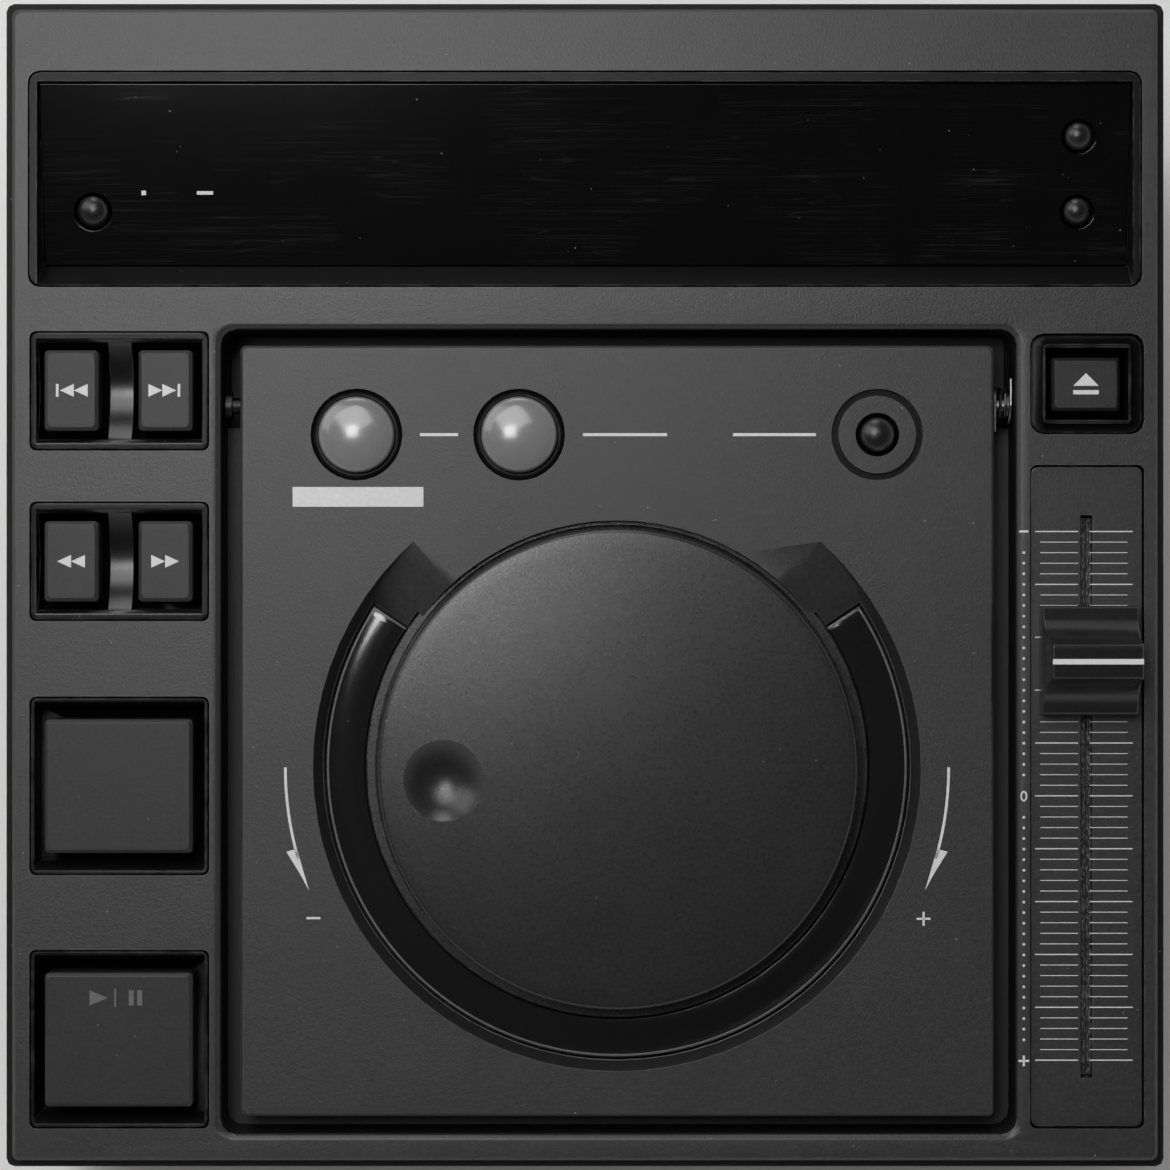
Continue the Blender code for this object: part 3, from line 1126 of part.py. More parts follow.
def build_fader(panel_frame):
    place = (FADER_COLUMN_X, FADER_V, 0)
    plate_bottom = -FADER_RECESS - FADER_PLATE_THICKNESS
    sheet = block(FADER_COLUMN_WIDTH - 2 * SEAT_GAP, FADER_PLATE_LENGTH, plate_bottom, -FADER_RECESS,
                  FADER_CORNER)
    plate = add_piece("fader_plate", sheet, "panel_grey", place, panel_frame)
    slot = block(FADER_SLOT_WIDTH, FADER_SLOT_LENGTH, plate_bottom - OVERRUN, OVERRUN)
    cut(plate, slot, place, panel_frame)
    housing_top = plate_bottom - SEAT_GAP
    housing_bottom = housing_top - FADER_HOUSING_DEPTH
    channel_length = FADER_TRAVEL + CARRIAGE_LENGTH + 2 * SEAT_GAP
    body = block(FADER_HOUSING_WIDTH, channel_length + 2 * FADER_HOUSING_WALL, housing_bottom, housing_top)
    housing = add_piece("fader_housing", body, "zinc_sheet", place, panel_frame)
    channel = FADER_HOUSING_WIDTH - 2 * FADER_HOUSING_WALL
    floor = housing_bottom + FADER_HOUSING_WALL
    carriage_bottom = floor + SEAT_GAP
    carriage_top = carriage_bottom + CARRIAGE_HEIGHT
    ceiling = carriage_top + SEAT_GAP
    cut(housing, stack([(channel, channel_length, floor), (channel, channel_length, ceiling),
                        (FADER_HOUSING_MOUTH, FADER_SLOT_LENGTH, ceiling),
                        (FADER_HOUSING_MOUTH, FADER_SLOT_LENGTH, OVERRUN)]), place, panel_frame)
    rest = (FADER_COLUMN_X, FADER_REST_V, 0)
    carriage = (channel - 2 * SEAT_GAP, CARRIAGE_LENGTH)
    blade = (LEVER_THICKNESS, LEVER_LENGTH)
    add_piece("fader_lever", stack([(*carriage, carriage_bottom), (*carriage, carriage_top),
                                    (*blade, carriage_top), (*blade,
                                                             LEVER_RISE)]), "nylon_white", rest, panel_frame)
    cap = add_piece("fader_cap", fader_cap_shape(), "bezel_black", rest, panel_frame)
    mouth = block(LEVER_THICKNESS + 2 * SEAT_GAP, LEVER_LENGTH + 2 * SEAT_GAP, -OVERRUN,
                  LEVER_RISE + SEAT_GAP)
    cut(cap, mouth, rest, panel_frame)


def fader_cap_shape():
    """Cap with two low lobes that sweep up in hollow curves to a narrow finger ridge."""
    bottom = -FADER_RECESS + CAP_PLATE_GAP
    half = CAP_LENGTH / 2
    ridge = CAP_RIDGE_LENGTH / 2
    sweep_run = half - CAP_EDGE - ridge
    sweep_rise = CAP_HEIGHT - CAP_EDGE - CAP_LOBE_HEIGHT
    right = [(half, bottom), (half, CAP_LOBE_HEIGHT - CAP_EDGE)]
    for step in range(CAP_ARC_STEPS + 1):
        angle = math.radians(90 * step / CAP_ARC_STEPS)
        right.append((half - CAP_EDGE - sweep_run * math.sin(angle),
                      CAP_LOBE_HEIGHT + sweep_rise * (1 - math.cos(angle))))
    right.append((ridge - CAP_EDGE, CAP_HEIGHT))
    outline = right + [(-v, w) for v, w in reversed(right)]
    cap = side_prism(outline, -CAP_WIDTH / 2, CAP_WIDTH / 2)
    for vert in cap.verts:
        rise_share = max(0.0, vert.co.z - CAP_LOBE_HEIGHT) / (CAP_HEIGHT - CAP_LOBE_HEIGHT)
        vert.co.x *= 1 - rise_share * (1 - CAP_RIDGE_WIDTH / CAP_WIDTH)
    return cap


# Lid


def lid_place(x=0.0, v=0.0):
    """Place in the hinge frame of a point given from the middle of the lid's top face."""
    return (x, LID_V - HINGE_V + v, HINGE_DEPTH)


def dial_place():
    """Place in the hinge frame of the dial's axis at the lid's top face."""
    return lid_place(0.0, -DIAL_OFFSET)


def moat_profile(angle):
    """Section of the moat at an angle: full depth over the window, ramps at both ends."""
    beyond = max(WINDOW_START - angle, angle - WINDOW_END, 0.0)
    depth = MOAT_DEPTH * (1 - beyond / RAMP_SWEEP)
    slant = MOAT_WALL_RUN / MOAT_DEPTH
    inner = DIAL_RADIUS
    return [(inner, -depth), (MOAT_RADIUS - slant * depth, -depth),
            (MOAT_RADIUS + slant * OVERRUN, OVERRUN), (inner, OVERRUN)]


def loop_buttons():
    """Places on the lid of the three loop buttons, from the lid's middle."""
    v = LID_LENGTH / 2 - LOOP_ROW_INSET
    left = -LID_WIDTH / 2 + LOOP_SIDE_INSET
    return {"loop_in_button": (left, v), "loop_out_button": (left + LOOP_SPACING, v),
            "reloop_button": (LID_WIDTH / 2 - LOOP_SIDE_INSET, v)}


def build_lid_panel(lid_frame):
    box = stack([(LID_WIDTH, LID_LENGTH, -LID_SKIRT_DEPTH), (LID_WIDTH, LID_LENGTH, -LID_EDGE),
                 (LID_WIDTH - 2 * LID_EDGE, LID_LENGTH - 2 * LID_EDGE, 0)], LID_CORNER)
    lid = add_piece("lid_panel", box, "lid_grey", lid_place(), lid_frame)
    hollow = block(LID_WIDTH - 2 * LID_SKIRT_WALL, LID_LENGTH - 2 * LID_SKIRT_WALL,
                   -LID_SKIRT_DEPTH - OVERRUN, -LID_THICKNESS)
    cut(lid, hollow, lid_place(), lid_frame)
    start, end = WINDOW_START - RAMP_SWEEP - WINDOW_END_GAP, WINDOW_END + RAMP_SWEEP + WINDOW_END_GAP
    rim = ring_sector(DIAL_RADIUS, MOAT_RIM_RADIUS, WINDOW_BOTTOM, -LID_THICKNESS + EMBED, start, end)
    join(lid, rim, dial_place(), lid_frame)
    margin = ARC_STEP / 5
    cut(lid, sector(moat_profile, WINDOW_START - RAMP_SWEEP - margin, WINDOW_END + RAMP_SWEEP + margin),
        dial_place(), lid_frame)
    aperture = ring_sector(DIAL_RADIUS, APERTURE_RADIUS, WINDOW_BOTTOM - OVERRUN, -MOAT_DEPTH + EMBED,
                           WINDOW_START, WINDOW_END)
    cut(lid, aperture, dial_place(), lid_frame)
    cut(lid, rod(DIAL_HOLE_RADIUS, -LID_SKIRT_DEPTH, OVERRUN, FINE_STEPS), dial_place(), lid_frame)
    skirt_room = rod(DIAL_SKIRT_RADIUS + SEAT_GAP, -LID_SKIRT_DEPTH, -DIAL_SKIRT_TOP + SEAT_GAP, FINE_STEPS)
    cut(lid, skirt_room, dial_place(), lid_frame)
    for name, (x, v) in loop_buttons().items():
        reloop = name == "reloop_button"
        hole = RELOOP_HOLE_RADIUS if reloop else LOOP_BUTTON_RADIUS + SEAT_GAP
        inner = RELOOP_GROOVE_INNER if reloop else LOOP_BUTTON_RADIUS
        groove = turned([(inner, -LOOP_GROOVE_DEPTH), (LOOP_GROOVE_RADIUS, -LOOP_GROOVE_DEPTH),
                         (LOOP_GROOVE_RADIUS, OVERRUN), (inner, OVERRUN)])
        cut(lid, groove, lid_place(x, v), lid_frame)
        cut(lid, rod(hole, -LID_SKIRT_DEPTH, OVERRUN, ROUND_STEPS), lid_place(x, v), lid_frame)
    pin_hole = along_x(rod(HINGE_PIN_RADIUS + SEAT_GAP, -LID_WIDTH / 2 - OVERRUN, LID_WIDTH / 2 + OVERRUN))
    cut(lid, pin_hole, parent=lid_frame)


def build_lid_window(lid_frame):
    window = ring_sector(WINDOW_INNER, WINDOW_OUTER, WINDOW_BOTTOM, -MOAT_DEPTH,
                         WINDOW_START + WINDOW_END_GAP, WINDOW_END - WINDOW_END_GAP)
    add_piece("disc_window", window, "smoked_window", dial_place(), lid_frame)


def hook_inner_radius():
    """Radius of the clamper hooks' posts, just clear of the clamper's flange."""
    return CLAMPER_FLANGE_RADIUS + 2 * SEAT_GAP


def build_lid_underframe(lid_frame):
    width = LID_WIDTH - 2 * LID_SKIRT_WALL - 2 * SEAT_GAP
    length = LID_LENGTH - 2 * LID_SKIRT_WALL - 2 * SEAT_GAP
    frame = add_piece("lid_underframe", block(width, length, FRAME_BOTTOM, FRAME_TOP), "moulding_black",
                      lid_place(), lid_frame)
    slot = ring_sector(WINDOW_INNER + FRAME_SLOT_MARGIN, WINDOW_OUTER - FRAME_SLOT_MARGIN,
                       FRAME_BOTTOM - OVERRUN, FRAME_TOP + OVERRUN,
                       WINDOW_START + FRAME_SLOT_TURN, WINDOW_END - FRAME_SLOT_TURN)
    cut(frame, slot, dial_place(), lid_frame)
    boss_top = FRAME_TOP + FRAME_BOSS_HEIGHT
    boss = rod(FRAME_BOSS_RADIUS, FRAME_TOP - EMBED, boss_top, ROUND_STEPS)
    join(frame, boss, dial_place(), lid_frame)
    bore = rod(HUB_BORE_RADIUS, FRAME_BOTTOM - OVERRUN, boss_top + OVERRUN, ROUND_STEPS)
    cut(frame, bore, dial_place(), lid_frame)
    post = hook_inner_radius()
    lip_top = CLAMPER_TOP - CLAMPER_FLANGE - SEAT_GAP
    lip_inner = CLAMPER_NECK_RADIUS + 2 * SEAT_GAP
    hook = [(post, FRAME_BOTTOM + EMBED), (post, lip_top), (lip_inner, lip_top),
            (lip_inner, lip_top - HOOK_LIP),
            (post + HOOK_WALL, lip_top - HOOK_LIP), (post + HOOK_WALL, FRAME_BOTTOM + EMBED)]
    for number in range(HOOK_COUNT):
        middle = math.radians(90) + math.tau * number / HOOK_COUNT
        join(frame, sector(lambda angle: hook, middle - HOOK_SWEEP / 2, middle + HOOK_SWEEP / 2),
             dial_place(), lid_frame)
    striker = block(STRIKER_WIDTH, STRIKER_THICKNESS, STRIKER_BOTTOM, FRAME_BOTTOM + EMBED)
    striker_place = lid_place(STRIKER_X - LID_X, STRIKER_V - LID_V)
    join(frame, striker, striker_place, lid_frame)
    sill = STRIKER_BOTTOM + STRIKER_SILL
    cut(frame, block(STRIKER_WINDOW_WIDTH, 2 * STRIKER_THICKNESS, sill, sill + STRIKER_WINDOW_HEIGHT),
        striker_place, lid_frame)
    for side in (-1, 1):
        notch = block(2 * HINGE_NOTCH, 2 * HINGE_NOTCH, FRAME_BOTTOM - OVERRUN, FRAME_TOP + OVERRUN)
        cut(frame, notch, lid_place(side * width / 2, HINGE_V - LID_V), lid_frame)


def build_hinge(panel_frame):
    """Two pins that stand in the well's side walls and reach into the lid's skirt."""
    for name, side, edge, gap in (("left", -1, LID_WIDTH / 2, LID_LEFT_GAP),
                                  ("right", 1, LID_WIDTH / 2, LID_RIGHT_GAP)):
        inner = edge - LID_SKIRT_WALL - HINGE_PIN_REACH
        outer = edge + gap + WELL_WALL - SEAT_GAP
        collar_start = edge + gap - SEAT_GAP - HINGE_COLLAR_RADIUS / 2
        collar_end = edge + gap - SEAT_GAP
        profile = [(0, inner), (HINGE_PIN_RADIUS, inner), (HINGE_PIN_RADIUS, collar_start),
                   (HINGE_COLLAR_RADIUS, collar_start), (HINGE_COLLAR_RADIUS, collar_end),
                   (HINGE_PIN_RADIUS, collar_end), (HINGE_PIN_RADIUS, outer), (0, outer)]
        pin = along_x(turned(profile, SMALL_STEPS))
        if side < 0:
            pin = turned_about(pin, "Z", math.pi)
        add_piece(f"hinge_pin_{name}", pin, "steel", (LID_X, HINGE_V, -HINGE_DEPTH), panel_frame)


def spring_points():
    """Wire of the hinge spring: a leg down the lid's side, the coil, and a leg to the front."""
    start = LID_WIDTH / 2 + (LID_RIGHT_GAP - SPRING_TURNS * SPRING_PITCH) / 2
    points = []
    for step in range(SPRING_TURNS * SPRING_POINTS_PER_TURN + 1):
        turn = step / SPRING_POINTS_PER_TURN
        angle = math.tau * turn
        points.append(Vector((start + SPRING_PITCH * turn, SPRING_COIL_RADIUS * math.sin(angle),
                              SPRING_COIL_RADIUS * math.cos(angle))))
    points.insert(0, points[0] + Vector((0, -SPRING_LEG, 0)))
    points.append(points[-1] + Vector((0, SPRING_LEG, 0)))
    return points


def build_hinge_spring(panel_frame):
    points = spring_points()
    turn_gap = min((a - b).length for index, a in enumerate(points)
                   for b in points[index + SPRING_POINTS_PER_TURN // 2:]) - SPRING_WIRE
    print(f"hinge spring: least gap between turns {turn_gap * 1000:.2f} mm")
    curve = bpy.data.curves.new("hinge_spring", "CURVE")
    curve.dimensions = "3D"
    curve.bevel_depth = SPRING_WIRE / 2
    curve.bevel_resolution = 1
    curve.use_fill_caps = True
    spline = curve.splines.new("POLY")
    spline.points.add(len(points) - 1)
    for target, point in zip(spline.points, points):
        target.co = (*point, 1.0)
    spring = bpy.data.objects.new("hinge_spring", curve)
    bpy.context.scene.collection.objects.link(spring)
    curve.materials.append(finish("steel"))
    spring.location = (LID_X, HINGE_V, -HINGE_DEPTH)
    spring.parent = panel_frame


def build_loop_buttons(lid_frame):
    for name, (x, v) in loop_buttons().items():
        reloop = name == "reloop_button"
        radius = RELOOP_BUTTON_RADIUS if reloop else LOOP_BUTTON_RADIUS
        hole = RELOOP_HOLE_RADIUS if reloop else LOOP_BUTTON_RADIUS + SEAT_GAP
        crown = RELOOP_CROWN if reloop else LOOP_BUTTON_CROWN
        edge = 0.0 if reloop else LOOP_BUTTON_EDGE
        flange = hole + LOOP_FLANGE_WIDTH
        flange_top = -LID_THICKNESS - SEAT_GAP
        profile = [(0, flange_top - LOOP_FLANGE), (flange, flange_top - LOOP_FLANGE), (flange, flange_top),
                   (radius, flange_top)]
        look = "button_dark" if reloop else "loop_dome"
        add_piece(name, turned(profile + dome(radius, edge, crown)), look, lid_place(x, v), lid_frame)


def build_jog(lid_frame):
    foot = DIAL_FOOT_RADIUS
    skirt_bottom = -DIAL_SKIRT_TOP - DIAL_SKIRT_THICKNESS
    ceiling = DIAL_HEIGHT - DIAL_CAP
    boss_bottom = ceiling - DIAL_BOSS_LENGTH
    shaft_top = boss_bottom + JOG_SHAFT_GRIP
    profile = [(0, DIAL_HEIGHT), (DIAL_RADIUS - DIAL_EDGE, DIAL_HEIGHT),
               (DIAL_RADIUS, DIAL_HEIGHT - DIAL_EDGE),
               (foot, -DIAL_SKIRT_TOP), (DIAL_SKIRT_RADIUS, -DIAL_SKIRT_TOP), (DIAL_SKIRT_RADIUS,
                                                                               skirt_bottom),
               (foot - DIAL_WALL, skirt_bottom), (DIAL_RADIUS - DIAL_WALL, ceiling), (DIAL_BOSS_RADIUS,
                                                                                      ceiling),
               (DIAL_BOSS_RADIUS, boss_bottom), (HUB_BORE_RADIUS, boss_bottom), (HUB_BORE_RADIUS,
                                                                                 shaft_top + SEAT_GAP),
               (0, shaft_top + SEAT_GAP)]
    dial = add_piece("jog_dial", turned(profile, FINE_STEPS), "dial_satin", dial_place(), lid_frame)
    x, v = -DIMPLE_REACH, -DIMPLE_DROP
    place = (x, dial_place()[1] + v, dial_place()[2])
    backing = rod(DIMPLE_RADIUS + DIMPLE_BACKING, ceiling - DIMPLE_BACKING, ceiling + EMBED, ROUND_STEPS)
    join(dial, backing, place, lid_frame)
    ball = (DIMPLE_RADIUS ** 2 + DIMPLE_DEPTH ** 2) / (2 * DIMPLE_DEPTH)
    sweep = math.acos(1 - (DIMPLE_DEPTH + EMBED) / ball)
    angles = [sweep * step / DIMPLE_STEPS for step in range(DIMPLE_STEPS + 1)]
    bottom = DIAL_HEIGHT - DIMPLE_DEPTH
    hollow = [(ball * math.sin(angle), bottom + ball * (1 - math.cos(angle))) for angle in angles]
    cut(dial, turned(hollow + [(0, hollow[-1][1])]), place, lid_frame)
    flange_top = FRAME_BOTTOM - SEAT_GAP
    flange_bottom = flange_top - JOG_SHAFT_FLANGE
    shaft = [(0, flange_bottom), (JOG_SHAFT_FLANGE_RADIUS, flange_bottom),
             (JOG_SHAFT_FLANGE_RADIUS, flange_top),
             (JOG_SHAFT_RADIUS, flange_top), (JOG_SHAFT_RADIUS, shaft_top), (0, shaft_top)]
    add_piece("jog_shaft", turned(shaft), "steel", dial_place(), lid_frame)


def build_clamper(lid_frame):
    neck_top = CLAMPER_TOP - CLAMPER_FLANGE
    puck_top = neck_top - CLAMPER_NECK
    bottom = puck_top - CLAMPER_PUCK
    recess = SPIGOT_RADIUS + CLAMPER_RECESS_CLEARANCE
    profile = [(0, CLAMPER_TOP), (CLAMPER_FLANGE_RADIUS, CLAMPER_TOP), (CLAMPER_FLANGE_RADIUS, neck_top),
               (CLAMPER_NECK_RADIUS, neck_top), (CLAMPER_NECK_RADIUS, puck_top), (CLAMPER_PUCK_RADIUS,
                                                                                  puck_top),
               (CLAMPER_PUCK_RADIUS, bottom), (recess, bottom), (recess, bottom + CLAMPER_RECESS_DEPTH),
               (0, bottom + CLAMPER_RECESS_DEPTH)]
    add_piece("disc_clamper", turned(profile), "nylon_white", dial_place(), lid_frame)


# Disc works under the lid


def build_disc_chamber(panel_frame):
    axis = (LID_X, DIAL_V, 0)
    deck_front = WELL_FRONT - WELL_WALL
    deck_width = WELL_WIDTH + 2 * WELL_WALL
    trough_rear = WELL_REAR + WELL_WALL
    deck = block(deck_width, TROUGH_V - deck_front, DECK_BOTTOM, DECK_TOP)
    chamber = add_piece("disc_chamber", deck, "moulding_black", (WELL_X, (TROUGH_V + deck_front) / 2, 0),
                        panel_frame)
    trough_front = TROUGH_V - CHAMBER_WALL
    trough_middle = (trough_front + trough_rear) / 2
    trough = block(deck_width, trough_rear - trough_front, TROUGH_FLOOR - CHAMBER_WALL, DECK_TOP)
    join(chamber, trough, (WELL_X, trough_middle, 0), panel_frame)
    join(chamber, rod(BOWL_RADIUS + CHAMBER_WALL, BOWL_BOTTOM, DECK_TOP - EMBED, FINE_STEPS), axis,
         panel_frame)
    trough_room = block(WELL_WIDTH, WELL_REAR - TROUGH_V, TROUGH_FLOOR, DECK_TOP + OVERRUN)
    cut(chamber, trough_room, (WELL_X, (TROUGH_V + WELL_REAR) / 2, 0), panel_frame)
    cut(chamber, rod(BOWL_RADIUS, BOWL_FLOOR, DECK_TOP + OVERRUN, FINE_STEPS), axis, panel_frame)
    cut(chamber, rod(TABLE_HUB_RADIUS + TABLE_HUB_CLEARANCE, BOWL_BOTTOM - OVERRUN, DECK_TOP), axis,
        panel_frame)
    slot_inner = SLED_X + LENS_HOUSING_RADIUS + SEAT_GAP
    slot_outer = SLED_X - SLED_TRAVEL - LENS_HOUSING_RADIUS - SEAT_GAP
    slot = block(slot_inner - slot_outer, 2 * LASER_SLOT_HALF_WIDTH, BOWL_BOTTOM - OVERRUN,
                 BOWL_FLOOR + OVERRUN)
    cut(chamber, slot, ((slot_inner + slot_outer) / 2, DIAL_V, 0), panel_frame)
    hole_front = SLIDER_ARM_V - SLIDER_ARM_LENGTH / 2 - OPEN_KEY_TRAVEL
    hole_rear = STRIKER_V + STRIKER_THICKNESS / 2 + OVERRUN
    hole = block(STRIKER_WIDTH + OVERRUN, hole_rear - hole_front, DECK_BOTTOM - OVERRUN, DECK_TOP + OVERRUN)
    cut(chamber, hole, (STRIKER_X, (hole_front + hole_rear) / 2, 0), panel_frame)
    ear_bottom = BOWL_BOTTOM - EAR_DEPTH
    outer_ear = block(EAR_THICKNESS, 2 * (ROD_SPREAD + EAR_HALF_LENGTH), ear_bottom, DECK_BOTTOM + EMBED)
    join(chamber, outer_ear, (OUTER_EAR_X, DIAL_V, 0), panel_frame)
    for side in (-1, 1):
        inner_ear = block(EAR_THICKNESS, 2 * EAR_HALF_LENGTH, ear_bottom, BOWL_BOTTOM + EMBED)
        join(chamber, inner_ear, (INNER_EAR_X, DIAL_V + side * ROD_SPREAD, 0), panel_frame)
    for side in (-1, 1):
        bore = along_x(rod(ROD_RADIUS + SEAT_GAP, OUTER_EAR_X - EAR_THICKNESS, INNER_EAR_X + EAR_THICKNESS))
        cut(chamber, bore, (0, DIAL_V + side * ROD_SPREAD, ROD_LEVEL), panel_frame)


def build_turntable(panel_frame):
    table_bottom = TABLE_TOP - TABLE_THICKNESS
    straight_top = TABLE_TOP + SPIGOT_STRAIGHT
    tip = straight_top + SPIGOT_CONE
    shaft_bottom = TABLE_HUB_BOTTOM - SPINDLE_LENGTH
    profile = [(0, tip), (SPIGOT_TIP_RADIUS, tip), (SPIGOT_RADIUS, straight_top), (SPIGOT_RADIUS, TABLE_TOP),
               (TABLE_RADIUS, TABLE_TOP), (TABLE_RADIUS, table_bottom), (TABLE_HUB_RADIUS, table_bottom),
               (TABLE_HUB_RADIUS, TABLE_HUB_BOTTOM), (SPINDLE_RADIUS, TABLE_HUB_BOTTOM), (SPINDLE_RADIUS,
                                                                                          shaft_bottom),
               (0, shaft_bottom)]
    add_piece("turntable", turned(profile), "moulding_black", (LID_X, DIAL_V, 0), panel_frame)
    top = BOWL_BOTTOM - SEAT_GAP
    bottom = top - SPINDLE_MOTOR_HEIGHT
    bore_bottom = shaft_bottom - SEAT_GAP
    motor = [(0, bottom), (SPINDLE_MOTOR_RADIUS, bottom), (SPINDLE_MOTOR_RADIUS, top),
             (SPINDLE_RADIUS + SEAT_GAP, top),
             (SPINDLE_RADIUS + SEAT_GAP, bore_bottom), (0, bore_bottom)]
    add_piece("spindle_motor", turned(motor), "zinc_sheet", (LID_X, DIAL_V, 0), panel_frame)


def build_sled(panel_frame):
    place = (SLED_X, DIAL_V, 0)
    body = block(SLED_WIDTH, SLED_LENGTH, SLED_TOP - SLED_HEIGHT, SLED_TOP, KEY_CORNER)
    sled = add_piece("laser_sled", body, "moulding_black", place, panel_frame)
    housing_top = SLED_TOP + LENS_HOUSING_HEIGHT
    lens = [(0, SLED_TOP - EMBED), (LENS_HOUSING_RADIUS, SLED_TOP - EMBED),
            (LENS_HOUSING_RADIUS, housing_top),
            *dome(LENS_RADIUS, housing_top, LENS_HEIGHT)]
    join(sled, turned(lens, SMALL_STEPS), place, panel_frame)
    rod_bore = along_x(rod(ROD_RADIUS + SEAT_GAP, -SLED_WIDTH, SLED_WIDTH))
    cut(sled, rod_bore, (SLED_X, DIAL_V - ROD_SPREAD, ROD_LEVEL), panel_frame)
    nut_bore = along_x(rod(SCREW_CREST_RADIUS + NUT_CLEARANCE, -SLED_WIDTH, SLED_WIDTH))
    cut(sled, nut_bore, (SLED_X, DIAL_V + ROD_SPREAD, ROD_LEVEL), panel_frame)
    left = OUTER_EAR_X - EAR_THICKNESS / 2 - ROD_END
    right = INNER_EAR_X + EAR_THICKNESS / 2 + ROD_END
    guide = along_x(rod(ROD_RADIUS, left - SLED_X, right - SLED_X))
    add_piece("sled_guide_rod", guide, "steel", (SLED_X, DIAL_V - ROD_SPREAD, ROD_LEVEL), panel_frame)


def lead_screw_shape(left, right, thread_left, thread_right):
    """Screw along x: plain journals and a helical thread between them, as radii at places along it."""
    turns = round((thread_right - thread_left) / SCREW_PITCH)
    rings = turns * 4
    shape = bmesh.new()
    loops = []
    threads = [thread_left + (thread_right - thread_left) * n / rings for n in range(rings + 1)]
    places = [left, thread_left, *threads, thread_right, right]
    for number, x in enumerate(places):
        threaded = 2 <= number < len(places) - 2
        loop = []
        for step in range(SCREW_STEPS):
            angle = math.tau * step / SCREW_STEPS
            phase = ((x - thread_left) / SCREW_PITCH - step / SCREW_STEPS) % 1.0
            crest = 1 - abs(2 * phase - 1)
            radius = SCREW_ROOT_RADIUS
            if threaded:
                radius += (SCREW_CREST_RADIUS - SCREW_ROOT_RADIUS) * max(crest, 0.15)
            loop.append(shape.verts.new((x, radius * math.sin(angle), radius * math.cos(angle))))
        loops.append(loop)
    for first, second in zip(loops, loops[1:]):
        for step in range(SCREW_STEPS):
            following = (step + 1) % SCREW_STEPS
            shape.faces.new((first[step], first[following], second[following], second[step]))
    shape.faces.new(loops[0])
    shape.faces.new(loops[-1])
    bmesh.ops.recalc_face_normals(shape, faces=shape.faces)
    return shape


def build_sled_drive(panel_frame):
    v = DIAL_V + ROD_SPREAD
    motor_right = OUTER_EAR_X - EAR_THICKNESS / 2 - SEAT_GAP
    left = motor_right - SLED_MOTOR_GRIP
    right = INNER_EAR_X + EAR_THICKNESS / 2 + ROD_END
    thread_left = OUTER_EAR_X + EAR_THICKNESS / 2 + SCREW_JOURNAL_GAP
    thread_right = INNER_EAR_X - EAR_THICKNESS / 2 - SCREW_JOURNAL_GAP
    middle = (thread_left + thread_right) / 2
    screw = lead_screw_shape(left - middle, right - middle, thread_left - middle, thread_right - middle)
    add_piece("lead_screw", screw, "steel", (middle, v, ROD_LEVEL), panel_frame)
    can = [(0, -SLED_MOTOR_LENGTH), (SLED_MOTOR_RADIUS, -SLED_MOTOR_LENGTH), (SLED_MOTOR_RADIUS, 0),
           (SCREW_ROOT_RADIUS + SEAT_GAP, 0), (SCREW_ROOT_RADIUS + SEAT_GAP, -SLED_MOTOR_GRIP - SEAT_GAP),
           (0, -SLED_MOTOR_GRIP - SEAT_GAP)]
    add_piece("sled_motor", along_x(turned(can)), "zinc_sheet", (motor_right, v, ROD_LEVEL), panel_frame)


# Electrics


def build_main_board():
    bottom = FOOT_HEIGHT + MAIN_BOARD_HEIGHT + SEAT_GAP
    place = (LID_X, bed_y(DIAL_V, 0), bottom)
    board = add_piece("main_board", block(MAIN_BOARD_WIDTH, MAIN_BOARD_LENGTH, 0, BOARD_THICKNESS),
                      "circuit_board", place)
    for sx, sy in ((-1, -1), (1, -1), (-1, 1), (1, 1), (0, 0)):
        chip = block(CHIP_SIZE, CHIP_SIZE, BOARD_THICKNESS - EMBED, BOARD_THICKNESS + CHIP_HEIGHT)
        join(board, chip, (place[0] + sx * CHIP_SPACING, place[1] + sy * CHIP_SPACING, bottom))


def build_transformer():
    x = -CASE_WIDTH / 2 + TRANSFORMER_SIDE_INSET
    y = CASE_REAR - TRANSFORMER_REAR_INSET
    bottom = FLOOR_TOP + SEAT_GAP
    core = block(TRANSFORMER_WIDTH, TRANSFORMER_LENGTH, 0, TRANSFORMER_HEIGHT)
    transformer = add_piece("transformer", core, "zinc_sheet", (x, y, bottom))
    coil_bottom = (TRANSFORMER_HEIGHT - TRANSFORMER_COIL_HEIGHT) / 2
    coil = block(TRANSFORMER_COIL_WIDTH, TRANSFORMER_LENGTH + 2 * TRANSFORMER_COIL_BULGE,
                 coil_bottom, coil_bottom + TRANSFORMER_COIL_HEIGHT, TRANSFORMER_COIL_BULGE)
    join(transformer, coil, (x, y, bottom))


def jack_places():
    """World x of the output jacks' axes."""
    return [JACK_X + (number - (JACK_COUNT - 1) / 2) * JACK_SPACING for number in range(JACK_COUNT)]


def mini_jack_x():
    """World x of the small control jack's axis, past the last output jack."""
    return JACK_X + (JACK_COUNT + 1) / 2 * JACK_SPACING


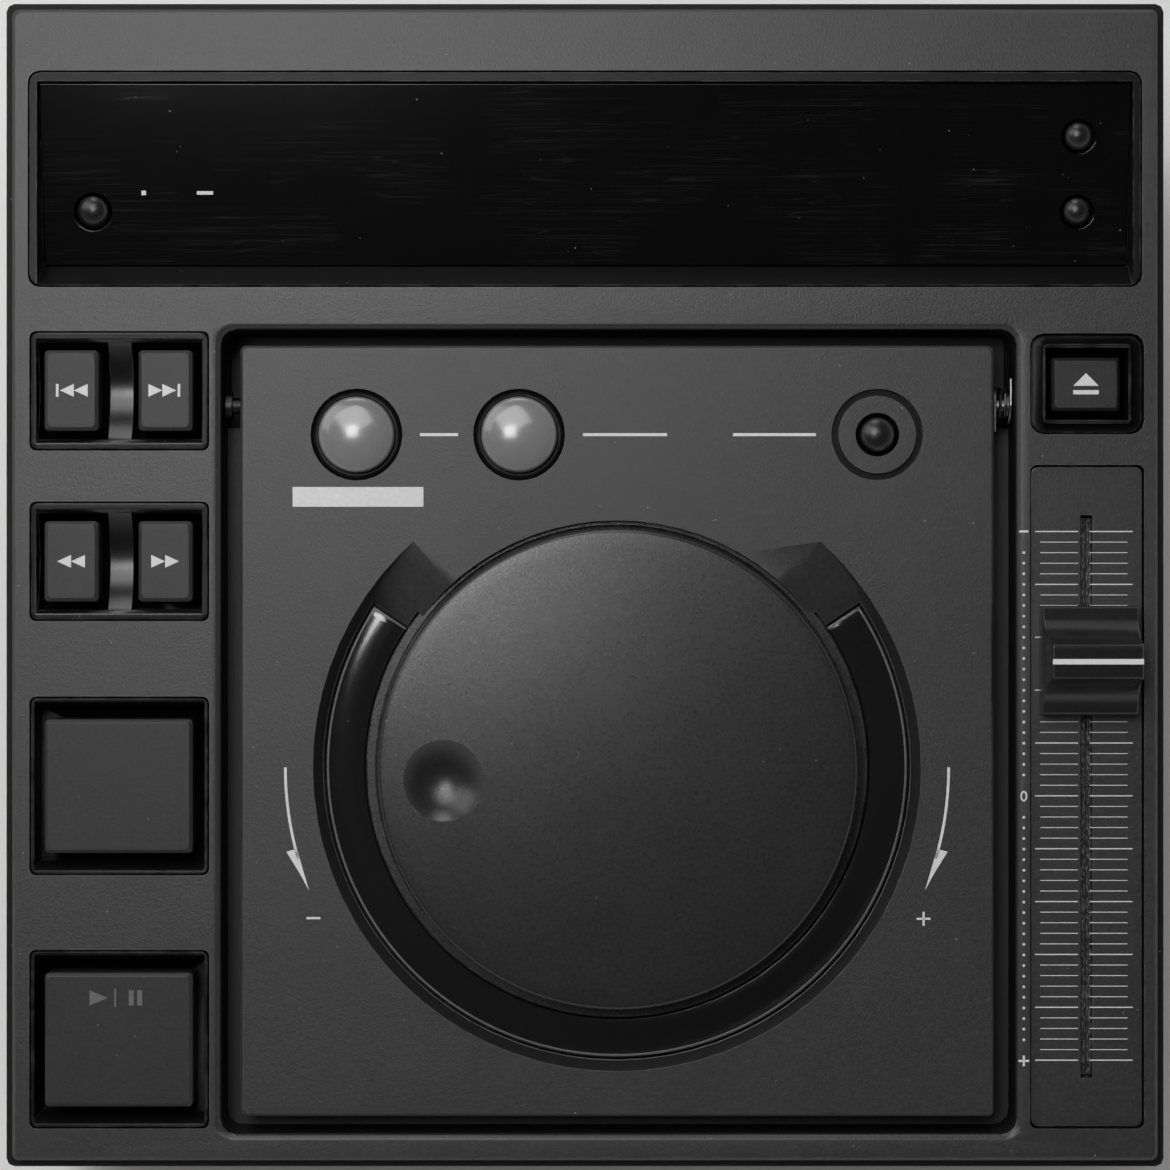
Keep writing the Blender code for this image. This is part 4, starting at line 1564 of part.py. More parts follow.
def build_rear_panel():
    width = REAR_OPENING_WIDTH + 2 * REAR_PANEL_MARGIN
    half_height = REAR_OPENING_HEIGHT / 2 + REAR_PANEL_MARGIN
    middle = (REAR_PANEL_INSIDE + REAR_PANEL_OUTSIDE) / 2
    plate = block(width, REAR_PANEL_THICKNESS, -half_height, half_height)
    panel = add_piece("rear_panel", plate, "case_black", (0, middle, REAR_MIDDLE_Z))
    inlet_hole = block(INLET_WIDTH + 2 * SEAT_GAP, 2 * OVERRUN + REAR_PANEL_THICKNESS,
                       -INLET_HEIGHT / 2 - SEAT_GAP, INLET_HEIGHT / 2 + SEAT_GAP)
    cut(panel, inlet_hole, (INLET_X, middle, REAR_MIDDLE_Z))
    reach = REAR_PANEL_THICKNESS / 2 + OVERRUN
    for x in jack_places():
        cut(panel, along_y(rod(JACK_RADIUS + SEAT_GAP, -reach, reach)), (x, middle, REAR_MIDDLE_Z))
    cut(panel, along_y(rod(MINI_JACK_RADIUS + SEAT_GAP, -reach, reach)),
        (mini_jack_x(), middle, REAR_MIDDLE_Z))


def build_inlet():
    flange_y = REAR_PANEL_OUTSIDE + SEAT_GAP + INLET_FLANGE / 2
    face_y = flange_y + INLET_FLANGE / 2
    flange = block(INLET_WIDTH + 2 * INLET_FLANGE_MARGIN, INLET_FLANGE,
                   -INLET_HEIGHT / 2 - INLET_FLANGE_MARGIN, INLET_HEIGHT / 2 + INLET_FLANGE_MARGIN)
    inlet = add_piece("power_inlet", flange, "moulding_black", (INLET_X, flange_y, REAR_MIDDLE_Z))
    body = block(INLET_WIDTH, INLET_DEPTH, -INLET_HEIGHT / 2, INLET_HEIGHT / 2)
    join(inlet, body, (INLET_X, flange_y - INLET_DEPTH / 2, REAR_MIDDLE_Z))
    socket_x = INLET_X - INLET_PART_OFFSET
    socket = along_y(block(SOCKET_WIDTH, SOCKET_HEIGHT, -SOCKET_DEPTH, OVERRUN, SOCKET_HEIGHT / 3))
    cut(inlet, socket, (socket_x, face_y, REAR_MIDDLE_Z))
    for side in (-1, 1):
        pin = along_y(rod(SOCKET_PIN_RADIUS, -SOCKET_DEPTH - EMBED, SOCKET_PIN_LENGTH - SOCKET_DEPTH,
                          SMALL_STEPS // 2))
        join(inlet, pin, (socket_x + side * SOCKET_PIN_SPACING / 2, face_y, REAR_MIDDLE_Z))
    rocker_x = INLET_X + INLET_PART_OFFSET
    hole_half = ROCKER_HALF_HEIGHT + ROCKER_HOLE_MARGIN
    hole_depth = ROCKER_HOLE_DEPTH + OVERRUN
    hole = block(ROCKER_WIDTH + 2 * ROCKER_SIDE_GAP, hole_depth, -hole_half, hole_half)
    cut(inlet, hole, (rocker_x, face_y + OVERRUN - hole_depth / 2, REAR_MIDDLE_Z))
    outline = [(-ROCKER_PIVOT_DEPTH, -ROCKER_HALF_HEIGHT), (-ROCKER_BACK, -ROCKER_HALF_HEIGHT / 2),
               (-ROCKER_BACK, ROCKER_HALF_HEIGHT / 2), (-ROCKER_PIVOT_DEPTH, ROCKER_HALF_HEIGHT),
               (ROCKER_RAISE, ROCKER_HALF_HEIGHT), (ROCKER_PIVOT_DEPTH, 0), (ROCKER_DIP,
                                                                             -ROCKER_HALF_HEIGHT)]
    rocker = side_prism(outline, -ROCKER_WIDTH / 2, ROCKER_WIDTH / 2)
    add_piece("power_rocker", rocker, "button_dark", (rocker_x, face_y - ROCKER_PIVOT_DEPTH, REAR_MIDDLE_Z))


def build_jacks():
    left = jack_places()[0] - JACK_BLOCK_MARGIN
    right = mini_jack_x() + JACK_BLOCK_MARGIN
    inner = REAR_PANEL_INSIDE - SEAT_GAP
    body = block(right - left, JACK_BLOCK_DEPTH, -JACK_BLOCK_HEIGHT / 2, JACK_BLOCK_HEIGHT / 2)
    jacks = add_piece("output_jacks", body, "moulding_black",
                      ((left + right) / 2, inner - JACK_BLOCK_DEPTH / 2, REAR_MIDDLE_Z))
    end = CASE_REAR + JACK_REACH
    for x in jack_places():
        join(jacks, along_y(rod(JACK_RADIUS, inner - EMBED, end)), (x, 0, REAR_MIDDLE_Z))
        cut(jacks, along_y(rod(JACK_BORE_RADIUS, end - JACK_BORE_DEPTH, end + OVERRUN)),
            (x, 0, REAR_MIDDLE_Z))
    end = CASE_REAR + MINI_JACK_REACH
    join(jacks, along_y(rod(MINI_JACK_RADIUS, inner - EMBED, end)), (mini_jack_x(), 0, REAR_MIDDLE_Z))
    cut(jacks, along_y(rod(MINI_JACK_BORE_RADIUS, end - JACK_BORE_DEPTH, end + OVERRUN)),
        (mini_jack_x(), 0, REAR_MIDDLE_Z))


def main():
    for old in list(bpy.data.objects):
        bpy.data.objects.remove(old)
    panel_frame = add_frame("panel_frame", (0, FRAME_Y, PANEL_MIDDLE_HEIGHT), CASE_SLOPE)
    lid_frame = add_frame("lid_frame", (LID_X, HINGE_V, -HINGE_DEPTH), 0.0, panel_frame)
    display_frame = add_display_frame(panel_frame)
    build_lower_case(panel_frame)
    build_feet()
    build_case_screws()
    build_top_panel(panel_frame)
    build_display(panel_frame, display_frame)
    build_search_row("track_bezel", "track_back_key", "track_forward_key", TRACK_V, panel_frame)
    build_search_row("search_bezel", "search_back_key", "search_forward_key", SEARCH_V, panel_frame)
    build_cue_row("cue_bezel", "cue_key", CUE_V, panel_frame)
    build_cue_row("play_bezel", "play_key", PLAY_V, panel_frame)
    build_key_board(panel_frame)
    build_open_row(panel_frame)
    build_latch(panel_frame)
    build_fader(panel_frame)
    build_lid_panel(lid_frame)
    build_lid_window(lid_frame)
    build_lid_underframe(lid_frame)
    build_hinge(panel_frame)
    build_hinge_spring(panel_frame)
    build_loop_buttons(lid_frame)
    build_jog(lid_frame)
    build_clamper(lid_frame)
    build_disc_chamber(panel_frame)
    build_turntable(panel_frame)
    build_sled(panel_frame)
    build_sled_drive(panel_frame)
    build_main_board()
    build_transformer()
    build_rear_panel()
    build_inlet()
    build_jacks()


main()
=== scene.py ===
"""Looks of a tabletop disc player: fine edges, finishes, printed marks and small fittings.

Lengths are metres and +Z is up. A place on the sloping panel is (x, v, w): x to the right, v up the
slope to the rear and w square out of the panel, from the middle of the panel's top face.
"""
import json
import logging
import math
from dataclasses import dataclass, field
from enum import Enum
from typing import Callable, Iterable, Optional, Sequence

import bmesh
import bpy
from mathutils import Matrix, Vector


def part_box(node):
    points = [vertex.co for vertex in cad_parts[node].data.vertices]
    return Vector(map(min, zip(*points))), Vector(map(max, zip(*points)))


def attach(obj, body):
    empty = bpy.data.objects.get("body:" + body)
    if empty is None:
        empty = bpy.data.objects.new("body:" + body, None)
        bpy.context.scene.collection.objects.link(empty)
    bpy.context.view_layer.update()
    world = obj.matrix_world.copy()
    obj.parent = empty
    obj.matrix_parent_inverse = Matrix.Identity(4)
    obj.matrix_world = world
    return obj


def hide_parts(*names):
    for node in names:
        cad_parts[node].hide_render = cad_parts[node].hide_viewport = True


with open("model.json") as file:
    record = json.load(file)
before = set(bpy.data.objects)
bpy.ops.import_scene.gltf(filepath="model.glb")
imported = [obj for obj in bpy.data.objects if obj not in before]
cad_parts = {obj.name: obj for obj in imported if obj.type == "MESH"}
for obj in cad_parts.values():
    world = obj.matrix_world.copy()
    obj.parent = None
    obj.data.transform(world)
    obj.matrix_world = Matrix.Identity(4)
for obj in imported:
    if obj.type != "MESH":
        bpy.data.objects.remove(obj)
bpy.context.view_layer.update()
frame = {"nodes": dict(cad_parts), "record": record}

log = logging.getLogger("disc_player")

MERGE_DISTANCE = 1e-6
Place = tuple[float, float, float]


class Pattern(Enum):
    """What the surface of a finish looks like close up."""

    MOULDED = "moulded"
    SATIN = "satin"
    GLOSSY = "glossy"
    BRUSHED = "brushed"
    RUBBERY = "rubbery"
    BOARD = "board"
    STACKED = "stacked"
    FUZZY = "fuzzy"


@dataclass(frozen=True)
class SlopedPanel:
    """Where the panel lies: its slope, and the middle of its top face."""

    slope: float = math.radians(7.0)
    middle_y: float = -0.0033412
    middle_height: float = 0.0937

    def matrix(self, x: float = 0.0, v: float = 0.0, w: float = 0.0) -> Matrix:
        """Matrix that puts a shape at a place on the panel.

        Args:
            x: Place to the right.
            v: Place up the slope.
            w: Height out of the panel's top face.

        Returns:
            The matrix, with its axes along the panel's own.
        """
        middle = Matrix.Translation((0.0, self.middle_y, self.middle_height))
        return middle @ Matrix.Rotation(self.slope, 4, "X") @ Matrix.Translation((x, v, w))


PANEL = SlopedPanel()


def grey(level: float) -> tuple[float, float, float, float]:
    """Linear colour of a neutral grey.

    Args:
        level: The grey as a screen shows it, from 0 to 255.

    Returns:
        Red, green, blue and alpha.
    """
    share = level / 255.0
    linear = share / 12.92 if share <= 0.04045 else ((share + 0.055) / 1.055) ** 2.4
    return (linear, linear, linear, 1.0)


def tint(red: float, green: float, blue: float) -> tuple[float, float, float, float]:
    """Linear colour of a screen colour, each part from 0 to 255."""
    return (grey(red)[0], grey(green)[0], grey(blue)[0], 1.0)


class NodeBench:
    """Makes and links the nodes of one tree."""

    def __init__(self, tree: bpy.types.NodeTree) -> None:
        """Take the tree to work on.

        Args:
            tree: Tree of a material or of a group.
        """
        self.tree = tree

    def add(self, kind: str, **settings: object) -> bpy.types.Node:
        """Add a node.

        Args:
            kind: Type name without its ShaderNode prefix.
            **settings: Properties of the node.

        Returns:
            The node.
        """
        node = self.tree.nodes.new("ShaderNode" + kind)
        for name, value in settings.items():
            setattr(node, name, value)
        return node

    def feed(self, socket: bpy.types.NodeSocket, source: object) -> None:
        """Give a socket its value, or link it to the socket of another node.

        Args:
            socket: Input socket.
            source: Output socket, number, vector or colour.
        """
        if isinstance(source, bpy.types.NodeSocket):
            self.tree.links.new(source, socket)
        else:
            socket.default_value = source

    def math(self, operation: str, first: object, second: object = 0.0,
             clamp: bool = False) -> bpy.types.NodeSocket:
        """Result of a Math node.

        Args:
            operation: What the node works out.
            first: First value or socket.
            second: Second value or socket.
            clamp: Whether the result stays between 0 and 1.

        Returns:
            The output socket.
        """
        node = self.add("Math", operation=operation, use_clamp=clamp)
        self.feed(node.inputs[0], first)
        self.feed(node.inputs[1], second)
        return node.outputs[0]

    def stretch(self, vector: object, scale: Sequence[float],
                turn: Sequence[float] = (0, 0, 0)) -> bpy.types.NodeSocket:
        """A vector through a Mapping node.

        Args:
            vector: Socket with the coordinates.
            scale: Scale along each axis.
            turn: Rotation about each axis, in radians.

        Returns:
            The output socket.
        """
        node = self.add("Mapping")
        self.feed(node.inputs["Vector"], vector)
        node.inputs["Scale"].default_value = scale
        node.inputs["Rotation"].default_value = turn
        return node.outputs[0]

    def noise(self, vector: object, scale: object, detail: float = 2.0,
              rough: float = 0.5) -> bpy.types.NodeSocket:
        """Factor of a Noise Texture.

        Args:
            vector: Socket with the coordinates.
            scale: Value or socket.
            detail: Number of finer layers.
            rough: How strong the finer layers are.

        Returns:
            The output socket.
        """
        node = self.add("TexNoise")
        self.feed(node.inputs["Vector"], vector)
        self.feed(node.inputs["Scale"], scale)
        node.inputs["Detail"].default_value = detail
        node.inputs["Roughness"].default_value = rough
        return node.outputs["Fac"]

    def band(self, value: object, low: object, high: object, to_low: float = 0.0,
             to_high: float = 1.0) -> bpy.types.NodeSocket:
        """A value mapped smoothly from one range to another.

        Args:
            value: Value or socket.
            low: Start of the range it comes from.
            high: End of that range.
            to_low: Start of the range it goes to.
            to_high: End of that range.

        Returns:
            The output socket.
        """
        node = self.add("MapRange", interpolation_type="SMOOTHSTEP")
        for name, source in (("Value", value), ("From Min", low), ("From Max", high), ("To Min", to_low),
                             ("To Max", to_high)):
            self.feed(node.inputs[name], source)
        return node.outputs["Result"]

    def mix(self, factor: object, first: object, second: object, blend: str = "MIX") -> bpy.types.NodeSocket:
        """Mix of two colours.

        Args:
            factor: Share of the second.
            first: First colour or socket.
            second: Second colour or socket.
            blend: How they mix.

        Returns:
            The output socket.
        """
        node = self.add("Mix", data_type="RGBA", blend_type=blend)
        self.feed(node.inputs["Factor"], factor)
        colour_inputs = [socket for socket in node.inputs if socket.type == "RGBA"]
        self.feed(colour_inputs[0], first)
        self.feed(colour_inputs[1], second)
        return next(socket for socket in node.outputs if socket.type == "RGBA")


def node_group(name: str, inputs: dict[str, str], outputs: dict[str, str],
               fill: Callable[[NodeBench, bpy.types.Node, bpy.types.Node], None]) -> bpy.types.NodeTree:
    """The shared node group of that name, made on its first use.

    Args:
        name: Name of the group.
        inputs: Names and types of its inputs.
        outputs: Names and types of its outputs.
        fill: Function that fills it.

    Returns:
        The group's tree.
    """
    tree = bpy.data.node_groups.get(name)
    if tree is None:
        tree = bpy.data.node_groups.new(name, "ShaderNodeTree")
        for direction, sockets in (("INPUT", inputs), ("OUTPUT", outputs)):
            for socket, kind in sockets.items():
                tree.interface.new_socket(socket, in_out=direction, socket_type="NodeSocket" + kind)
        bench = NodeBench(tree)
        fill(bench, tree.nodes.new("NodeGroupInput"), tree.nodes.new("NodeGroupOutput"))
    return tree


def fill_grain(bench: NodeBench, start: bpy.types.Node, end: bpy.types.Node) -> None:
    """Moulded grain: rounded cells under a fine noise, and a slow change of tone."""
    cells = bench.add("TexVoronoi", feature="SMOOTH_F1")
    bench.feed(cells.inputs["Vector"], start.outputs["Vector"])
    bench.feed(cells.inputs["Scale"], start.outputs["Scale"])
    fine = bench.noise(start.outputs["Vector"], bench.math("MULTIPLY", start.outputs["Scale"], 2.3), 2.0, 0.6)
    coarse = bench.math("MULTIPLY", cells.outputs["Distance"], 0.7)
    bench.feed(end.inputs["Height"], bench.math("ADD", coarse, bench.math("MULTIPLY", fine, 0.6)))
    slow = bench.noise(start.outputs["Vector"], bench.math("MULTIPLY", start.outputs["Scale"], 0.02), 3.0, 0.5)
    mottle = bench.noise(start.outputs["Vector"], bench.math("MULTIPLY", start.outputs["Scale"], 0.45), 2.0, 0.7)
    tone = bench.math("ADD", bench.math("MULTIPLY", slow, 0.25), bench.math("MULTIPLY", mottle, 0.75))
    bench.feed(end.inputs["Tone"], bench.band(tone, 0.3, 0.7))


def facing_up(bench: NodeBench) -> bpy.types.NodeSocket:
    """Mask of the faces that look up."""
    parts = bench.add("SeparateXYZ")
    bench.feed(parts.inputs[0], bench.add("NewGeometry").outputs["Normal"])
    return bench.band(parts.outputs["Z"], 0.3, 0.95)


def fill_dust(bench: NodeBench, start: bpy.types.Node, end: bpy.types.Node) -> None:
    """Dust on faces that look up: specks, and a faint film in patches."""
    vector = start.outputs["Vector"]
    spots = bench.add("TexVoronoi", feature="F1")
    bench.feed(spots.inputs["Vector"], vector)
    spots.inputs["Scale"].default_value = 420.0
    speck = bench.band(spots.outputs["Distance"], 0.10, 0.04)
    chosen = bench.band(bench.noise(vector, 160.0, 1.0), 0.60, 0.66)
    film = bench.band(bench.noise(vector, 90.0, 5.0, 0.68), 0.42, 0.80)
    fibre = bench.noise(bench.stretch(vector, (90.0, 900.0, 300.0), (0.0, 0.0, 0.6)), 1.0, 3.0, 0.7)
    film = bench.math("MULTIPLY", film, bench.band(fibre, 0.35, 0.75, 0.35, 1.0))
    film = bench.math("MULTIPLY", film, start.outputs["Film"])
    mask = bench.math("ADD", bench.math("MULTIPLY", speck, chosen), film, clamp=True)
    mask = bench.math("MULTIPLY", mask, facing_up(bench))
    bench.feed(end.inputs["Mask"], bench.math("MULTIPLY", mask, start.outputs["Amount"], clamp=True))


def fill_scratches(bench: NodeBench, start: bpy.types.Node, end: bpy.types.Node) -> None:
    """Fine scratches that run nearly along x, in two directions a few degrees apart."""
    total = None
    for turn, scale in ((0.03, (9.0, 900.0, 900.0)), (-0.05, (14.0, 1500.0, 1500.0)), (1.2, (30.0, 700.0, 700.0))):
        vector = bench.stretch(start.outputs["Vector"], scale, (0.0, 0.0, turn))
        ridge = bench.math("ABSOLUTE", bench.math("SUBTRACT", bench.noise(vector, 1.0, 1.0), 0.5))
        line = bench.band(ridge, 0.012, 0.003)
        total = line if total is None else bench.math("MAXIMUM", total, bench.math("MULTIPLY", line, 0.6))
    broken = bench.band(bench.noise(start.outputs["Vector"], 60.0, 2.0), 0.42, 0.62)
    mask = bench.math("MULTIPLY", bench.math("MULTIPLY", total, broken), facing_up(bench))
    bench.feed(end.inputs["Mask"], bench.math("MULTIPLY", mask, start.outputs["Amount"], clamp=True))


def fill_edge_wear_and_highlight(bench: NodeBench, start: bpy.types.Node, end: bpy.types.Node) -> None:
    """Rubbed edges and a painted highlight along them: where the rounded normal leaves the real one, broken up by a
    noise.
    """
    rounded = bench.add("Bevel", samples=4)
    bench.feed(rounded.inputs["Radius"], start.outputs["Radius"])
    turned = bench.add("VectorMath", operation="DOT_PRODUCT")
    bench.feed(turned.inputs[0], rounded.outputs["Normal"])
    bench.feed(turned.inputs[1], bench.add("NewGeometry").outputs["Normal"])
    edge = bench.band(turned.outputs["Value"], 0.995, 0.90)
    patchy = bench.band(bench.noise(start.outputs["Vector"], 260.0, 4.0, 0.65), 0.38, 0.62)
    mask = bench.math("MULTIPLY", edge, patchy)
    bench.feed(end.inputs["Mask"], bench.math("MULTIPLY", mask, start.outputs["Amount"], clamp=True))


GRAIN = ("grain", {"Vector": "Vector", "Scale": "Float"}, {"Height": "Float", "Tone": "Float"}, fill_grain)
DUST = ("dust", {"Vector": "Vector", "Amount": "Float", "Film": "Float"}, {"Mask": "Float"}, fill_dust)
SCRATCHES = ("scratches", {"Vector": "Vector", "Amount": "Float"}, {"Mask": "Float"}, fill_scratches)
EDGE_WEAR_AND_HIGHLIGHT = ("edge_wear_and_highlight", {"Vector": "Vector", "Radius": "Float", "Amount": "Float"}, {"Mask": "Float"},
             fill_edge_wear_and_highlight)


@dataclass(frozen=True)
class Finish:
    """A finish: its slot in the record, its colours and how its surface looks close up."""

    name: str
    slot: str
    colour: tuple[float, float, float, float]
    roughness: float
    pattern: Pattern = Pattern.MOULDED
    metallic: float = 0.0
    grain_scale: float = 2600.0
    grain_depth: float = 0.00003
    tone_spread: float = 0.12
    dust: float = 0.0
    film: float = 0.05
    wear_and_highlight: float = 0.0
    scratches: float = 0.0
    coat: float = 0.0
    transmission: float = 0.0
    subsurface: float = 0.0
    specular: float = 0.5
    dust_colour: tuple[float, float, float, float] = grey(150)

    def material(self) -> bpy.types.Material:
        """The material of this finish, made on its first use."""
        found = bpy.data.materials.get("finish_" + self.name)
        return found if found else self.make()

    def group(self, bench: NodeBench, spec: tuple, **values: object) -> bpy.types.Node:
        """Place a shared group in the material.

        Args:
            bench: Bench of the material's tree.
            spec: Name, inputs, outputs and filling function of the group.
            **values: What its inputs get.

        Returns:
            The group node.
        """
        node = bench.add("Group", node_tree=node_group(*spec))
        for name, value in values.items():
            bench.feed(node.inputs[name], value)
        return node

    def make(self) -> bpy.types.Material:
        """Build the material's nodes.

        Returns:
            The material.
        """
        material = bpy.data.materials.new("finish_" + self.name)
        material.use_nodes = True
        bench = NodeBench(material.node_tree)
        shader = material.node_tree.nodes["Principled BSDF"]
        vector = bench.add("TexCoord").outputs["Object"]
        grain = self.group(bench, GRAIN, Vector=vector, Scale=self.grain_scale)
        tone, height = grain.outputs["Tone"], grain.outputs["Height"]
        if self.pattern is Pattern.BRUSHED:
            height = bench.noise(bench.stretch(vector, (40.0, 5000.0, 5000.0)), 1.0, 3.0, 0.6)
        elif self.pattern is Pattern.STACKED:
            height = bench.math("PINGPONG", bench.math("MULTIPLY", self.along(bench, vector, "X"), 2000.0), 1.0)
        elif self.pattern is Pattern.FUZZY:
            height = bench.noise(bench.stretch(vector, (5200.0, 900.0, 2600.0)), 1.0, 4.0, 0.75)
        low = tuple(part * (1.0 - self.tone_spread) for part in self.colour[:3]) + (1.0,)
        high = tuple(min(1.0, part * (1.0 + self.tone_spread)) for part in self.colour[:3]) + (1.0,)
        colour = bench.mix(tone, low, high)
        rough = bench.band(tone, 0.0, 1.0, self.roughness * 0.95, min(1.0, self.roughness * 1.05))
        if self.pattern is Pattern.BOARD:
            colour = self.tracks(bench, vector, colour)
        if self.pattern is Pattern.FUZZY:
            colour = bench.mix(bench.band(height, 0.45, 0.68), low, grey(126))
        if self.scratches:
            marks = self.group(bench, SCRATCHES, Vector=vector, Amount=self.scratches).outputs["Mask"]
            colour = bench.mix(marks, colour, grey(118))
            rough = bench.math("ADD", rough, bench.math("MULTIPLY", marks, 0.35), clamp=True)
        if self.wear_and_highlight:
            worn_and_lit = self.group(bench, EDGE_WEAR_AND_HIGHLIGHT, Vector=vector, Radius=0.0004, Amount=self.wear_and_highlight).outputs["Mask"]
            # Lighter edges: partly rubbed wear, partly a painted highlight along the edges.
            colour = bench.mix(worn_and_lit, colour, bench.mix(0.6, colour, grey(150)))
        if self.dust:
            dusty = self.group(bench, DUST, Vector=vector, Amount=self.dust, Film=self.film).outputs["Mask"]
            colour = bench.mix(dusty, colour, self.dust_colour)
            rough = bench.math("ADD", rough, bench.math("MULTIPLY", dusty, 0.4), clamp=True)
        bench.feed(shader.inputs["Base Color"], colour)
        bench.feed(shader.inputs["Roughness"], rough)
        bump = bench.add("Bump")
        bump.inputs["Strength"].default_value = 0.6
        bump.inputs["Distance"].default_value = self.grain_depth
        bench.feed(bump.inputs["Height"], height)
        bench.feed(shader.inputs["Normal"], bump.outputs["Normal"])
        shader.inputs["Metallic"].default_value = self.metallic
        shader.inputs["Specular IOR Level"].default_value = self.specular
        shader.inputs["Coat Weight"].default_value = self.coat
        shader.inputs["Coat Roughness"].default_value = 0.08
        shader.inputs["Transmission Weight"].default_value = self.transmission
        shader.inputs["Subsurface Weight"].default_value = self.subsurface
        shader.inputs["Subsurface Radius"].default_value = (0.002, 0.002, 0.002)
        return material

    def along(self, bench: NodeBench, vector: bpy.types.NodeSocket, axis: str) -> bpy.types.NodeSocket:
        """One coordinate of a vector."""
        parts = bench.add("SeparateXYZ")
        bench.feed(parts.inputs[0], vector)
        return parts.outputs[axis]

    def tracks(self, bench: NodeBench, vector: bpy.types.NodeSocket,
               colour: bpy.types.NodeSocket) -> bpy.types.NodeSocket:
        """Paler copper tracks under a board's lacquer.

        Args:
            bench: Bench of the material's tree.
            vector: Coordinates.
            colour: Colour of the board.

        Returns:
            The colour with the tracks.
        """
        cells = bench.add("TexBrick", offset=0.37, squash=1.7, squash_frequency=3)
        bench.feed(cells.inputs["Vector"], vector)
        cells.inputs["Scale"].default_value = 90.0
        cells.inputs["Mortar Size"].default_value = 0.035
        return bench.mix(bench.math("MULTIPLY", cells.outputs["Fac"], 0.7), colour, tint(76, 128, 84))


CASE_BLACK = Finish("case_black", "case_black", grey(25), 0.50, grain_scale=1500.0, grain_depth=0.00005,
                    dust=0.4, film=0.01, wear_and_highlight=0.3, specular=0.12)
PANEL_GREY = Finish("panel_grey", "panel_grey", grey(41), 0.39, grain_depth=0.00005, tone_spread=0.16,
                    dust=0.5, wear_and_highlight=0.3)
LID_GREY = Finish("lid_grey", "lid_grey", grey(40), 0.40, grain_depth=0.00005, tone_spread=0.16, dust=0.5,
                  wear_and_highlight=0.3)
BEZEL_BLACK = Finish("bezel_black", "bezel_black", grey(15), 0.34, grain_depth=0.00001, dust=0.4, film=0.015,
                     wear_and_highlight=0.4, specular=0.14)
CAP_BLACK = Finish("cap_black", "bezel_black", grey(22), 0.24, grain_depth=0.00001, dust=0.3, film=0.01,
                   wear_and_highlight=0.4, specular=0.45)
KEY_GREY = Finish("key_grey", "key_grey", grey(38), 0.42, grain_depth=0.00003, tone_spread=0.14, dust=0.3,
                  wear_and_highlight=0.3, specular=0.35)
DISPLAY_GLASS = Finish("display_glass", "display_glass", grey(4), 0.09, Pattern.GLOSSY, grain_depth=0.0,
                       dust=0.35, film=0.004, scratches=0.05)
SMOKED_WINDOW = Finish("smoked_window", "smoked_window", grey(46), 0.10, Pattern.GLOSSY, grain_depth=0.0,
                       dust=0.3, film=0.006, transmission=0.7)
DIAL_SATIN = Finish("dial_satin", "dial_satin", grey(31), 0.28, Pattern.SATIN, grain_scale=3400.0,
                    grain_depth=0.00002, tone_spread=0.16, dust=0.3, film=0.01, wear_and_highlight=0.4)
LOOP_DOME = Finish("loop_dome", "loop_dome", grey(118), 0.20, Pattern.GLOSSY, grain_depth=0.0,
                   tone_spread=0.03, coat=0.4, subsurface=0.25)
BUTTON_DARK = Finish("button_dark", "button_dark", grey(20), 0.30, Pattern.GLOSSY, grain_depth=0.0)
# Pale strip round the smoked window: a painted highlight of its bevel.
WINDOW_HIGHLIGHT = Finish("window_painted_highlight", "smoked_window", grey(92), 0.30, Pattern.GLOSSY, grain_depth=0.0)
SPRING_STEEL = Finish("spring_steel", "steel", grey(120), 0.36, Pattern.BRUSHED, metallic=1.0,
                      grain_depth=0.00001)
RUBBER = Finish("rubber", "rubber", grey(24), 0.85, Pattern.RUBBERY, grain_scale=1800.0, grain_depth=0.00006,
                dust=0.5)
STEEL = Finish("steel", "steel", grey(188), 0.26, Pattern.BRUSHED, metallic=1.0, grain_depth=0.00001)
# Dark steel: the real colour of the rear screws, and painted shade on the left hinge pin, which lies in the shaded
# left gap.
STEEL_DARK_AND_SHADE = Finish("steel_dark_and_shade", "steel", grey(58), 0.42, Pattern.BRUSHED, metallic=1.0, grain_depth=0.00001)
ZINC = Finish("zinc_sheet", "zinc_sheet", grey(170), 0.42, Pattern.BRUSHED, metallic=1.0, grain_depth=0.00001)
BRASS = Finish("brass", "steel", tint(196, 160, 92), 0.30, Pattern.BRUSHED, metallic=1.0, grain_depth=0.00001)
COPPER = Finish("copper_winding", "zinc_sheet", tint(150, 84, 46), 0.38, Pattern.STACKED, metallic=0.8,
                grain_depth=0.0001)
LAMINATION = Finish("lamination", "zinc_sheet", grey(120), 0.5, Pattern.STACKED, metallic=1.0, grain_depth=0.0001)
MOULDING = Finish("moulding_black", "moulding_black", grey(30), 0.58, grain_scale=1700.0, grain_depth=0.00004,
                  dust=0.3)
BOARD_GREEN = Finish("circuit_board", "circuit_board", tint(40, 84, 52), 0.45, Pattern.BOARD, grain_depth=0.00001)
NYLON = Finish("nylon_white", "nylon_white", tint(208, 207, 198), 0.48, grain_depth=0.00001, tone_spread=0.05)
RUBBER_RED = Finish("socket_red", "rubber", tint(150, 24, 22), 0.45, grain_depth=0.00001, tone_spread=0.05)
LENS = Finish("lens", "display_glass", tint(70, 60, 120), 0.04, Pattern.GLOSSY, grain_depth=0.0, coat=1.0)
PRINT_PALE = Finish("print_pale", "nylon_white", grey(206), 0.55, grain_depth=0.00001, tone_spread=0.06)
PRINT_DIM = Finish("print_dim", "key_grey", grey(92), 0.5, grain_depth=0.00001, tone_spread=0.05)
FELT = Finish("felt", "rubber", grey(30), 0.95, Pattern.FUZZY, grain_scale=2400.0, grain_depth=0.0004)


def body_of(node: str) -> str:
    """Body that a CAD node rides on."""
    bodies = frame["record"]["behaviour"]["bodies"]
    return next(body for body, nodes in bodies.items() if node in nodes)


